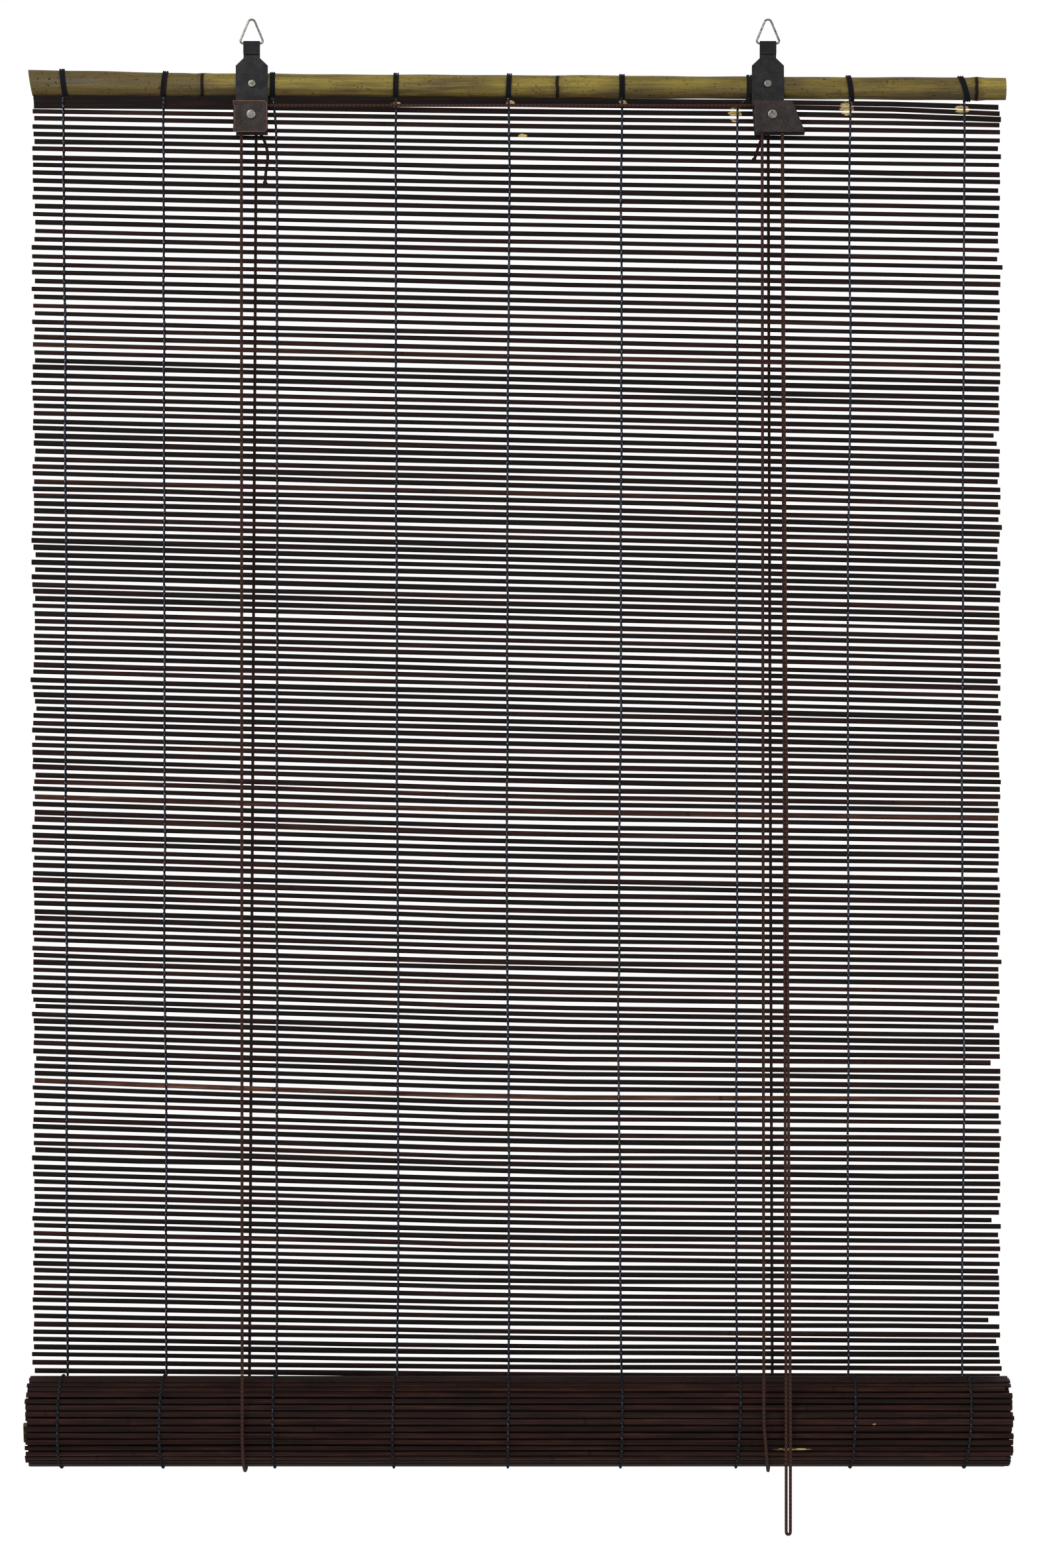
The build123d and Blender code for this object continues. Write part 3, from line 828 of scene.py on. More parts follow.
@dataclass(frozen=True)
class BronzedSheet:
    """Dark bronzed steel sheet, browner at its plates and neck, with a painted shade on the rolled tab above
    the neck, worn to copper where worn is high.
    """

    name: str = "bronzed_sheet"
    stops: Stops = ((0.34, (17, 18, 20)), (0.68, (38, 38, 39)))
    rust_stops: Stops = ((0.36, (17, 18, 20)), (0.52, (48, 41, 39)), (0.74, (86, 64, 54)))
    # Painted shade of the rolled tab, where the sheet curls round the ring's bar.
    rolled: Colour = (13, 14, 19)
    copper: Colour = (126, 78, 58)
    cloud: Grain = Grain((150, 150, 150), 4.0, 0.6)
    grit: Grain = Grain((1250, 1250, 1250), 3.0, 0.7)
    rub: Grain = Grain((420, 420, 420), 4.0, 0.7, (2.0, 5.0, 1.0))
    grit_share: float = 1.1
    cloud_share: float = 0.3
    plate_top: float = -0.0138
    plate_fade: float = 0.0004
    plate_share: float = 0.7
    neck: float = 0.0245
    neck_band: Stretch = (0.0022, 0.0008, 0.0, 0.8)
    tab_shade_from: float = 0.0014
    tab_shade_to: float = 0.0024
    tab_shade_share: float = 0.7
    rubbed: Stretch = (0.30, 0.55, 0.45, 1.0)
    worn: float = 0.0
    metallic: float = 0.55
    roughness: Pair = (0.44, 0.62)
    shine: float = 0.3
    bump: Pair = (0.00016, 0.6)

    def make(self) -> Finish:
        """Builds the material.

        Returns:
            The material.
        """
        tree = FinishTree(self.name)
        cloud = tree.noise(self.cloud)
        grit = tree.noise(self.grit)
        height = tree.axis("Z")
        colour = tree.ramp(tree.vary(cloud, grit, self.grit_share), self.stops)
        rust = tree.ramp(tree.vary(grit, cloud, self.cloud_share), self.rust_stops)
        low = tree.span(height, self.plate_top + self.plate_fade, self.plate_top, 0.0, self.plate_share)
        above = tree.math("SUBTRACT", height, self.neck)
        neck = tree.span(tree.math("ABSOLUTE", above), *self.neck_band)
        colour = tree.mix(tree.math("MAXIMUM", low, neck), colour, rust)
        # Painted shade: darkens the rolled tab from just above the neck upwards.
        tab_shade = tree.span(above, self.tab_shade_from, self.tab_shade_to, 0.0, self.tab_shade_share)
        colour = tree.mix(tab_shade, colour, self.rolled)
        bare = tree.math("MULTIPLY", tree.span(tree.noise(self.rub), *self.rubbed), self.worn)
        tree.set(Base_Color=tree.mix(bare, colour, self.copper), Metallic=self.metallic,
                 Roughness=tree.uneven(grit, *self.roughness), Specular_IOR_Level=self.shine)
        tree.relief(grit, *self.bump)
        return tree.material


@dataclass(frozen=True)
class NickelPlate:
    """Nickel plated wire and rivets, lightly scratched."""

    name: str = "nickel_plate"
    stops: Stops = ((0.35, (70, 67, 62)), (0.62, (138, 135, 128)))
    cloud: Grain = Grain((420, 420, 420), 4.0, 0.6)
    scratch: Grain = Grain((2600, 500, 4200), 2.0)
    roughness: Pair = (0.20, 0.38)
    bump: Pair = (0.00006, 0.4)

    def make(self) -> Finish:
        """Builds the material.

        Returns:
            The material.
        """
        tree = FinishTree(self.name)
        scratch = tree.noise(self.scratch)
        tree.set(Base_Color=tree.ramp(tree.noise(self.cloud), self.stops), Metallic=1.0,
                 Roughness=tree.uneven(scratch, *self.roughness))
        tree.relief(scratch, *self.bump)
        return tree.material


@dataclass(frozen=True)
class MouldedPlastic:
    """Dark moulded sheave, dusty in patches."""

    name: str = "moulded_sheave"
    stops: Stops = ((0.45, (26, 24, 24)), (0.75, (70, 62, 56)))
    dust: Grain = Grain((600, 600, 600), 4.0, 0.65)
    roughness: Pair = (0.42, 0.62)
    bump: Pair = (0.00008, 0.4)

    def make(self) -> Finish:
        """Builds the material.

        Returns:
            The material.
        """
        tree = FinishTree(self.name)
        dust = tree.noise(self.dust)
        tree.set(Base_Color=tree.ramp(dust, self.stops), Roughness=tree.uneven(dust, *self.roughness))
        tree.relief(dust, *self.bump)
        return tree.material


@dataclass
class SplitStick:
    """One split stick, modelled once along X and repeated."""

    sides: int = 6
    cuts: int = 8
    radius: float = 0.5
    spacing: float = -2.0

    def repeat(self, name: str, count: int) -> tuple[Piece, np.ndarray, np.ndarray]:
        """Models one stick of unit size and repeats it.

        Args:
            name: Name of the piece.
            count: How many sticks it has.

        Returns:
            The piece, the unit stick's vertices, and the stick number of each vertex.
        """
        piece = cut_rod(name, self.sides, self.radius, self.cuts)
        unit = vertex_places(piece)
        unit[:, 1:] *= self.radius / np.abs(unit[:, 1:]).max(axis=0)
        rows = piece.modifiers.new("rows", "ARRAY")
        rows.count = count
        rows.use_relative_offset = False
        rows.use_constant_offset = True
        rows.constant_offset_displace = (0, 0, self.spacing)
        bpy.ops.object.modifier_apply(modifier=rows.name)
        number = np.repeat(np.arange(count), len(unit))
        return piece, np.tile(unit, (count, 1)), number

    @staticmethod
    def tone(piece: Piece, number: np.ndarray, tones: np.ndarray) -> None:
        """Gives each stick its own tone.

        Args:
            piece: The sticks.
            number: Stick number of each vertex.
            tones: One value per stick.
        """
        layer = piece.data.attributes.new("stick_tone", "FLOAT", "POINT")
        layer.data.foreach_set("value", tones[number].astype(np.float32))


@dataclass
class RollForm:
    """The roll's spiral, and the circle that the lift cord makes round it, in millimetres."""

    radius: float = 38.0
    turn_pitch: float = 4.3
    y: float = -41.0
    z: float = -1098.5
    mat_length: float = 495.0
    cord_circle: float = 41.05

    def point(self, angle: float, out: float) -> Pair:
        """A point of the spiral.

        Args:
            angle: Its angle.
            out: How far outside the middle of the turn.

        Returns:
            Y and Z in millimetres.
        """
        reach = self.radius - self.turn_pitch * angle / math.tau + out
        return (self.y + reach * math.cos(angle), self.z - reach * math.sin(angle))

    def front_tangent(self, y: float, z: float) -> Pair:
        """Where a cord from a point meets the cord circle at the roll's front.

        Args:
            y: Y of the point.
            z: Z of the point.

        Returns:
            Y and Z in millimetres.
        """
        away = math.hypot(y - self.y, z - self.z)
        angle = math.atan2(z - self.z, y - self.y) + math.acos(self.cord_circle / away)
        return (self.y + self.cord_circle * math.cos(angle), self.z + self.cord_circle * math.sin(angle))


@dataclass
class RollLift:
    """The roll's lift joint and its travel; the pieces between the rail and the roll keep their shape when the
    roll goes up.
    """

    joint: str = "roll_lift"
    travel: float = 1000.0

    def shorten(self, piece: Piece, top: float, bottom: float) -> None:
        """Gives a piece its own copy of its mesh; it is not flattened as the roll goes up.

        Args:
            piece: A finished mesh.
            top: Z that stays, in millimetres; not used.
            bottom: Z that goes up with the roll; not used.
        """
        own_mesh(piece)


@dataclass
class BambooMat:
    """The flat and rolled sticks."""

    finish: Finish
    roll: RollForm
    lift: RollLift
    seed: int = 41
    stick: SplitStick = field(default_factory=SplitStick)
    stick_length: float = 800.0
    stick_height: float = 3.8
    stick_depth: float = 2.3
    mat_y: float = -3.0
    rail_z: float = -11.0
    crease: float = 65.0
    # Heights of the first sticks, then a table of height, pitch and share of the usual girth.
    top_rows: tuple[float, ...] = (-11.4, -15.3, -20.8, -26.9, -33.0, -40.1, -46.6)
    weave: tuple[Point, ...] = (
        (-47, 6.65, 0.99), (-124, 7.06, 0.97), (-181, 6.78, 0.96), (-238, 6.28, 0.97), (-295, 6.30, 1.05),
        (-408, 6.05, 1.06), (-578, 6.20, 1.06), (-635, 6.35, 1.08), (-748, 6.06, 1.05), (-862, 6.38, 1.04),
        (-919, 6.00, 0.99), (-1032, 5.95, 1.02))
    pitch: float = 6.06
    foot_gap: float = 2.02
    # How the mat hangs askew: a table of height, rise of the left ends and fall of the right ends.
    leans: tuple[Point, ...] = (
        (-12, 5.5, 3.6), (-81, 8.6, 6.2), (-166, 9.3, 7.9), (-336, 9.7, 9.4), (-506, 10.5, 9.1),
        (-591, 12.2, 5.6), (-762, 11.9, 5.8), (-847, 13.2, 2.9), (-932, 10.4, 3.2), (-1017, 7.9, 3.0),
        (-1098, 0, 0))
    left_end: float = 395.0
    right_end: float = 390.0
    line_half: float = 420.0
    line_points: int = 43
    # What the first stick is pressed against, the least pitch, and the drop of the first right ends.
    ceiling: float = -7.9
    tilt: float = 0.0048
    touch: float = 3.4
    end_drops: tuple[float, ...] = (2.4, 3.6, 2.7, 1.0, 0.5)
    end_start: float = 290.0
    end_reach: float = 90.0
    # How uneven the split sticks are.
    bends: tuple[Pair, ...] = ((900.0, 0.7), (430.0, 0.4), (240.0, 0.22))
    bend_range: Pair = (0.8, 1.25)
    end_spread: float = 0.9
    short_from: float = 0.95
    short_by: Pair = (2, 9)
    swell: float = 0.07
    height_spread: float = 0.055
    height_range: Pair = (0.88, 1.14)
    depth_spread: float = 0.06
    depth_range: Pair = (0.85, 1.12)
    top_freedom: float = 0.2
    rogue_from: float = 0.95
    rogue_bend: float = 1.9
    flat_bend: float = 0.34
    flat_out: float = 0.12
    settle: float = 0.2
    stick_lean: float = 0.3
    bright_from: float = 0.96
    bright_by: float = 0.75
    flat_tones: Pair = (2.2, 2.6)
    flat_base: float = -0.42
    # The roll.
    sticks_per_turn: float = 39.5
    roll_height: float = 4.2
    roll_shift: float = 2.4
    roll_sink: float = 0.1
    roll_settle: Pair = (-0.3, 0.1)
    roll_out: float = 0.1
    roll_bend: float = 0.28
    roll_tones: Pair = (2.2, 2.2)
    roll_base: float = 0.12
    roll_spread: float = 0.46

    def woven(self, z: np.ndarray | float, column: Weave) -> np.ndarray:
        """Looks up the weave, which isn't even from top to bottom.

        Args:
            z: Heights, in millimetres.
            column: The pitch of the sticks, or their share of the usual girth.

        Returns:
            The value at each height.
        """
        table = np.array(self.weave)[::-1]
        return np.interp(z, table[:, 0], table[:, column.value])

    def rows(self) -> list[float]:
        """Heights of the flat sticks.

        Returns:
            Z of each stick in millimetres.
        """
        heights = list(self.top_rows)
        while heights[-1] - self.pitch > self.roll.z + self.foot_gap:
            heights.append(heights[-1] - float(self.woven(heights[-1], Weave.PITCH)))
        return heights

    def row_lines(self) -> tuple[np.ndarray, np.ndarray]:
        """The line of each flat stick: the mat hangs a little askew, left ends up, pressed against the rail.

        Returns:
            Places along the sticks, and the height of each stick there, in millimetres.
        """
        places = np.linspace(-self.line_half, self.line_half, self.line_points)
        rows = np.array(self.rows())
        depth, left, right = (np.array(column)[::-1] for column in zip(*self.leans))
        lift = np.interp(rows, depth, left)[:, None] * np.clip(-places, 0, None) / self.left_end
        drop = np.interp(rows, depth, right)[:, None] * np.clip(places, 0, None) / self.right_end
        lines = rows[:, None] + lift - drop
        hang = np.clip((places - self.end_start) / self.end_reach, 0, 1)
        lines[:len(self.end_drops)] -= np.array(self.end_drops)[:, None] * hang
        above = self.ceiling - self.tilt * places
        for line in lines:
            np.minimum(line, above - self.touch, out=line)
            above = line
        return places, lines

    def rows_at(self, x: float) -> list[float]:
        """Heights of the flat sticks at one place along them.

        Args:
            x: The place, in millimetres.

        Returns:
            Z of each stick in millimetres.
        """
        places, lines = self.row_lines()
        return [float(np.interp(x, places, line)) for line in lines]

    def wave(self, luck: np.random.RandomState, count: int, x: np.ndarray, number: np.ndarray,
             size: float) -> np.ndarray:
        """Slow bends of split sticks.

        Args:
            luck: Seeded source.
            count: How many sticks.
            x: Place along the stick of each vertex, in millimetres.
            number: Stick number of each vertex.
            size: Usual bend in millimetres.

        Returns:
            The bend of each vertex, in millimetres.
        """
        bend = np.zeros(len(x))
        for reach, share in self.bends:
            phase = luck.uniform(0, math.tau, count)[number]
            length = (reach * luck.uniform(*self.bend_range, count))[number]
            height = luck.normal(0, share, count)[number]
            bend += size * height * np.sin(math.tau * x / length + phase)
        return bend

    def sections(self, luck: np.random.RandomState, count: int, unit: np.ndarray, number: np.ndarray,
                 tall: float) -> tuple[np.ndarray, np.ndarray, np.ndarray]:
        """Uneven lengths and thicknesses of the sticks.

        Args:
            luck: Seeded source.
            count: How many sticks.
            unit: Vertices of the unit stick, repeated.
            number: Stick number of each vertex.
            tall: Usual height of a stick, in millimetres.

        Returns:
            Place along the stick, out of the mat and along the mat, in millimetres.
        """
        left = luck.normal(0, self.end_spread, count)
        right = luck.normal(0, self.end_spread, count)
        short = luck.uniform(0, 1, count) > self.short_from
        right[short] -= luck.uniform(*self.short_by, count)[short]
        share = unit[:, 0] + 0.5
        x = -self.stick_length / 2 + left[number] + share * (self.stick_length + (right - left)[number])
        swell = 1 + self.wave(luck, count, x, number, self.swell)
        heights = tall * luck.normal(1, self.height_spread, count).clip(*self.height_range)
        depths = self.stick_depth * luck.normal(1, self.depth_spread, count).clip(*self.depth_range)
        return x, unit[:, 1] * depths[number], unit[:, 2] * heights[number] * swell

    def hang(self) -> Piece:
        """Lays out the flat sticks under the rail.

        Returns:
            The piece.
        """
        luck = np.random.RandomState(self.seed)
        places, lines = self.row_lines()
        count = len(lines)
        piece, unit, number = self.stick.repeat("hanging_sticks", count)
        x, out, along = self.sections(luck, count, unit, number, self.stick_height)
        along = along * self.woven(np.array(self.rows()), Weave.GIRTH)[number]
        freedom = np.where(np.arange(count) < len(self.top_rows), self.top_freedom, 1.0)
        rogue = np.where(luck.uniform(0, 1, count) > self.rogue_from, self.rogue_bend, 1.0) * freedom
        bend = self.wave(luck, count, x, number, self.flat_bend) * rogue[number]
        settle = luck.normal(0, self.settle, count) * freedom
        lean = luck.normal(0, self.stick_lean, count) * freedom
        step = (x - places[0]) / (places[1] - places[0])
        before = step.astype(int)
        line = lines[number, before]
        line = line + (lines[number, before + 1] - line) * (step - before)
        z = line + settle[number] + bend + lean[number] * x / self.stick_length + along
        y = self.mat_y + out + self.wave(luck, count, x, number, self.flat_out)
        place_vertices(piece, np.column_stack((x, y, z)) * MM)
        bright = np.where(luck.uniform(0, 1, count) > self.bright_from, self.bright_by, 0.0)
        self.stick.tone(piece, number, luck.beta(*self.flat_tones, count) + self.flat_base + bright)
        smooth(piece, self.crease)
        dress(piece, Body.HEAD.value, [self.finish])
        self.lift.shorten(piece, self.rail_z, self.roll.z)
        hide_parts("hanging_mat")
        return piece

    def roll_angles(self) -> list[float]:
        """Places of the rolled sticks round the spiral, so that each turn lies in the gaps of the next.

        Returns:
            Angles from where the mat leaves the roll.
        """
        count = int(self.roll.mat_length // self.pitch)
        return [(n + 0.5) * math.tau / self.sticks_per_turn for n in range(count)]

    def wind(self) -> Piece:
        """Winds the other sticks into the roll.

        Returns:
            The piece.
        """
        luck = np.random.RandomState(self.seed + 1)
        angles = np.array(self.roll_angles())
        count = len(angles)
        piece, unit, number = self.stick.repeat("rolled_sticks", count)
        x, out, along = self.sections(luck, count, unit, number, self.roll_height)
        turn = angles[number]
        reach = self.roll.radius - self.roll.turn_pitch * turn / math.tau - self.roll_sink
        reach = reach + out + luck.uniform(*self.roll_settle, count)[number]
        reach = reach + self.wave(luck, count, x, number, self.roll_out)
        along = along + self.wave(luck, count, x, number, self.roll_bend)
        y = self.roll.y + reach * np.cos(turn) - along * np.sin(turn)
        z = self.roll.z - reach * np.sin(turn) - along * np.cos(turn)
        place_vertices(piece, np.column_stack((x + self.roll_shift, y, z)) * MM)
        self.stick.tone(piece, number, self.roll_base + self.roll_spread * luck.beta(*self.roll_tones, count))
        smooth(piece, self.crease)
        dress(piece, Body.ROLL.value, [self.finish])
        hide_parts("rolled_mat")
        return piece


@dataclass
class HeadRail:
    """The split bamboo rail, flat at its back and round at its front."""

    finish: Finish
    seed: int = 7
    length: float = 808.0
    left_height: float = 19.6
    right_height: float = 18.2
    depth: float = 7.0
    edge: float = 2.0
    shift: float = 1.6
    tilt: float = 0.0048
    flare: float = 2.2
    flare_start: float = -270.0
    flare_height: float = 8.0
    slant: float = 3.3
    slant_reach: float = 12.0
    node_places: tuple[float, ...] = (-261.8, 32.3, 379.4)
    node_rise: float = 0.7
    node_half: float = 2.6
    groove: float = 0.35
    groove_at: float = 5.5
    groove_half: float = 3.0
    deepest: float = -0.4
    skin_waves: tuple[float, ...] = (310.0, 140.0, 66.0)
    skin_bend: float = 0.16
    edge_swell: float = 0.8
    edge_from: float = 6.0
    proud: float = 0.2
    skin_share: float = 0.25
    sides: int = 24
    back_corners: int = 4
    cuts: int = 160
    crease: float = 40.0

    def height(self, x: np.ndarray | float) -> np.ndarray | float:
        """Height of the tapering rail.

        Args:
            x: Place along it, in millimetres.

        Returns:
            The height.
        """
        return self.left_height + (self.right_height - self.left_height) * (x / self.length + 0.5)

    def lifted(self, x: np.ndarray | float, z: np.ndarray | float) -> np.ndarray | float:
        """Tilts the rail, and raises its top edge where the culm widens to its left end.

        Args:
            x: Place along the rail, in millimetres.
            z: Height on the even taper.

        Returns:
            The height.
        """
        widening = self.flare * np.clip((self.flare_start - x) / (self.flare_start + self.length / 2), 0, 1)
        return z + widening * np.clip(z / self.flare_height, 0, 1) - self.tilt * x

    def outline(self, height: float, out: float, count: int) -> list[Pair]:
        """The rail's section.

        Args:
            height: Its height.
            out: How far outside the rail's skin.
            count: Points on the round front.

        Returns:
            Y and Z round the section, from the upper back corner over the front.
        """
        top = height / 2 + out
        rise = self.depth - self.edge + out
        radius = (top * top + rise * rise) / (2 * rise)
        half = math.asin(top / radius) if rise < top else math.pi / 2
        points = [(out, top), (-self.edge / 2, top)]
        for step in range(count):
            angle = half * (1 - 2 * step / (count - 1))
            points.append((-self.edge - rise + radius - radius * math.cos(angle), radius * math.sin(angle)))
        points += [(-self.edge / 2, -top), (out, -top)]
        return points

    def swelling(self, x: np.ndarray) -> np.ndarray:
        """How far the skin stands out: at its nodes, less in the grooves beside them, and in slow waves.

        Args:
            x: Places along the rail, in millimetres.

        Returns:
            The swelling, in millimetres.
        """
        luck = np.random.RandomState(self.seed)
        swell = np.zeros(len(x))
        for place in self.node_places:
            away = np.abs(x - place)
            swell += self.node_rise * np.exp(-((away / self.node_half) ** 2))
            swell -= self.groove * np.exp(-(((away - self.groove_at) / self.groove_half) ** 2))
        for reach in self.skin_waves:
            swell += self.skin_bend * np.sin(math.tau * x / reach + luck.uniform(0, math.tau))
        return swell

    def build(self) -> Piece:
        """Models the rail with its nodes, its slanting end and an uneven skin.

        Returns:
            The piece.
        """
        piece = cut_rod("split_rail", self.sides, 1.0, self.cuts)
        unit = vertex_places(piece)
        around = np.mod(np.arctan2(unit[:, 2], unit[:, 1]), math.tau)
        ring = np.rint(around / math.tau * self.sides).astype(int) % self.sides
        section = np.array(self.outline(self.left_height, 0.0, self.sides - self.back_corners))
        section = np.roll(section, self.sides // 4 - self.back_corners // 2, axis=0)
        if (section[ring, 1] * unit[:, 2]).sum() < 0:
            section = section[::-1]
        x = unit[:, 0] * self.length
        y = section[ring, 0]
        z = section[ring, 1] / self.left_height * self.height(x)
        swell = self.swelling(x)
        front = np.clip(-y / self.depth, 0, 1)
        z = z + np.sign(z) * swell * self.edge_swell * np.clip(np.abs(z) / self.edge_from, 0, 1)
        rise = np.clip(swell, self.deepest, self.node_rise)
        y = y - rise * front * np.where(swell > self.proud, 1.0, self.skin_share)
        z = self.lifted(x, z)
        slanting = np.clip((x + self.length / 2) / self.slant_reach, 0, 1)
        x = x - (1 - slanting) * self.slant * z / self.left_height
        place_vertices(piece, np.column_stack((x + self.shift, y, z)) * MM)
        activate(piece)
        bpy.ops.object.mode_set(mode="EDIT")
        bpy.ops.mesh.select_all(action="SELECT")
        bpy.ops.mesh.normals_make_consistent(inside=False)
        bpy.ops.object.mode_set(mode="OBJECT")
        smooth(piece, self.crease)
        dress(piece, Body.HEAD.value, [self.finish])
        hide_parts("head_rail")
        return piece


@dataclass
class WarpThreads:
    """Pairs of thread twined round the sticks, on the flat mat and on the roll, and lashed to the rail."""

    finish: Finish
    mat: BambooMat
    rail: HeadRail
    roll: RollForm
    lift: RollLift
    flat_seed: int = 90
    roll_seed: int = 110
    lash_seed: int = 130
    places: tuple[float, ...] = (-375.2, -292.0, -199.6, -100.0, -6.4, 87.6, 183.2, 276.4, 370.8)
    lashing_shifts: tuple[float, ...] = (0, 0, -2.4, 0, 0, 0, 9.44, 0, 0)
    lashing_slopes: tuple[float, ...] = (-0.14, 0.10, 0.0, 0.02, 0.05, 0.0, 0.0, -0.14, -0.30)
    falls: tuple[float, ...] = (3.9, 2.7, 1.3, 0.6, 0.0, -0.5, -1.1, -1.2, -1.7)
    roll_leans: tuple[float, ...] = (0.0, 0.0, 0.0, -0.6, -1.2, -2.0, -3.0, -3.6, -3.6)
    lean_lengths: tuple[float, ...] = (30, 30, 30, 30, 30, 30, 5, 30, 30)
    thread: float = 1.8
    tuck: float = 0.6
    flat_drift: float = 0.15
    flat_split: float = 0.45
    end_share: float = 0.5
    roll_thread: float = 2.1
    roll_drift: float = 0.14
    roll_split: float = 0.5
    outer_stand: float = 0.9
    inner_stand: float = 0.4
    inner_from: float = 5.5
    lash_thread: float = 1.5
    lash_gap: float = 0.1
    lash_step: float = 1.06
    lash_bow: float = 0.25
    lash_points: int = 9
    lash_proud: float = 1.2
    turns: int = 3
    proud_from: float = 1.0
    proud_reach: float = 0.7

    def tubes(self, name: str, runs: Iterable[Sequence[Point]], closed: bool, order: int,
              thread: float) -> Piece:
        """Makes tubes of thread along runs of points.

        Args:
            name: Name of the piece.
            runs: Points of each tube, in millimetres.
            closed: Whether each tube joins its own end.
            order: Order of the splines.
            thread: Thickness, in millimetres.

        Returns:
            The piece, as a mesh.
        """
        line = bpy.data.curves.new(name, "CURVE")
        line.dimensions = "3D"
        line.resolution_u = 3
        line.bevel_depth = thread / 2 * MM
        line.bevel_resolution = 1
        line.use_fill_caps = not closed
        for run in runs:
            add_spline(line, run, order, closed)
        activate(add_object(name, line))
        bpy.ops.object.convert(target="MESH")
        return bpy.context.active_object

    def mark_highlight(self, piece: Piece, lift: np.ndarray) -> None:
        """Marks where thread stands proud of the sticks, which gets a painted highlight.

        Args:
            piece: The thread.
            lift: How far each vertex is outside the middle of the mat, in millimetres.
        """
        layer = piece.data.attributes.new("highlight_over_stick", "FLOAT", "POINT")
        over = np.clip((lift - self.proud_from) / self.proud_reach, 0, 1)
        layer.data.foreach_set("value", over.astype(np.float32))

    def twine(self, number: int, place: float, shift: float) -> list[list[Point]]:
        """Two strands that pass each stick in front and behind, and change sides between sticks.

        Args:
            number: Which warp, from 1.
            place: X of the thread.
            shift: How far to the side its lashing is.

        Returns:
            Points of the two strands, in millimetres.
        """
        luck = np.random.RandomState(self.flat_seed + number)
        swing = self.mat.stick_depth + self.thread
        rows = [self.mat.rail_z + self.tuck] + self.mat.rows_at(place)
        drift = np.cumsum(luck.normal(0, self.flat_drift, len(rows)))
        drift = drift - np.linspace(drift[0], drift[-1] - self.falls[number - 1], len(rows))
        strands: list[list[Point]] = [[], []]
        for count, row in enumerate(rows):
            back = max(0.0, 1 - (rows[0] - row) / self.lean_lengths[number - 1])
            x = place + shift * back + drift[count]
            stand = swing if 0 < count < len(rows) - 1 else swing * self.end_share
            for side, strand in zip((-1, 1), strands):
                way = side if count % 2 else -side
                strand.append((x + self.flat_split * way, self.mat.mat_y + way * stand, row))
        return strands

    def flat(self, number: int, place: float, shift: float) -> Piece:
        """Twines one warp through the flat mat.

        Args:
            number: Which warp, from 1.
            place: X of the warp.
            shift: How far to the side its lashing is.

        Returns:
            The piece.
        """
        strands = self.twine(number, place, shift)
        piece = self.tubes(f"mat_twine_{number}", strands, closed=False, order=3, thread=self.thread)
        self.mark_highlight(piece, np.abs(vertex_places(piece)[:, 1] / MM - self.mat.mat_y))
        dress(piece, Body.HEAD.value, [self.finish])
        self.lift.shorten(piece, self.mat.rail_z, self.roll.z)
        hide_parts(f"warp_thread_{number}")
        return piece

    def coil(self, number: int, place: float) -> list[list[Point]]:
        """Two strands that twine round the sticks of the roll.

        Args:
            number: Which warp, from 1.
            place: X of the warp.

        Returns:
            Points of the two strands, in millimetres.
        """
        luck = np.random.RandomState(self.roll_seed + number)
        swing = self.mat.stick_depth + self.thread
        angles = self.mat.roll_angles()
        drift = np.cumsum(luck.normal(0, self.roll_drift, len(angles)))
        x = place + self.falls[number - 1]
        strands: list[list[Point]] = [[], []]
        for count, angle in enumerate(angles):
            stand = self.outer_stand if angle < self.inner_from else self.inner_stand
            if count in (0, len(angles) - 1):
                stand *= self.end_share
            for side, strand in zip((-1, 1), strands):
                way = side if count % 2 else -side
                y, z = self.roll.point(angle, way * swing * stand)
                lean = self.roll_leans[number - 1] * (0.5 - (z - self.roll.z) / (2 * self.roll.radius))
                strand.append((x + lean + drift[count] + self.roll_split * way, y, z))
        return strands

    def wound(self, number: int, place: float) -> Piece:
        """Twines one warp through the roll.

        Args:
            number: Which warp, from 1.
            place: X of the warp.

        Returns:
            The piece.
        """
        strands = self.coil(number, place)
        piece = self.tubes(f"roll_twine_{number}", strands, closed=False, order=3, thread=self.roll_thread)
        _, y, z = vertex_places(piece).T / MM
        reach = np.hypot(y - self.roll.y, z - self.roll.z)
        turned = np.mod(np.arctan2(self.roll.z - z, y - self.roll.y), math.tau) / math.tau
        depth = (self.roll.radius - reach) / self.roll.turn_pitch - turned
        self.mark_highlight(piece, (np.rint(depth) - depth) * self.roll.turn_pitch)
        dress(piece, Body.ROLL.value, [self.finish])
        return piece

    def lashing(self, number: int, place: float) -> Piece:
        """Winds one warp's ends round the rail.

        Args:
            number: Which warp, from 1.
            place: X of the lashing.

        Returns:
            The piece.
        """
        luck = np.random.RandomState(self.lash_seed + number)
        out = self.lash_gap + self.lash_thread / 2
        outline = self.rail.outline(float(self.rail.height(place)), out, self.lash_points)
        slope = self.lashing_slopes[number - 1]
        runs = []
        for turn in range(self.turns):
            x = place + (turn - (self.turns - 1) / 2) * self.lash_thread * self.lash_step
            bow = luck.uniform(-self.lash_bow, self.lash_bow)
            runs.append([(x + bow + slope * z, y, float(self.rail.lifted(x, z))) for y, z in outline])
        piece = self.tubes(f"rail_lashing_{number}", runs, closed=True, order=2, thread=self.lash_thread)
        # Painted highlight: a faint one all round the lashing, as though it stood a little proud.
        self.mark_highlight(piece, np.full(len(piece.data.vertices), self.lash_proud))
        dress(piece, Body.HEAD.value, [self.finish])
        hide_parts(f"warp_thread_{number}")
        return piece

    def build(self) -> list[Piece]:
        """Makes all the threads.

        Returns:
            The pieces.
        """
        pieces = []
        for number, (place, shift) in enumerate(zip(self.places, self.lashing_shifts), start=1):
            pieces.append(self.flat(number, place, shift))
            pieces.append(self.wound(number, place))
            pieces.append(self.lashing(number, place + shift))
        return pieces


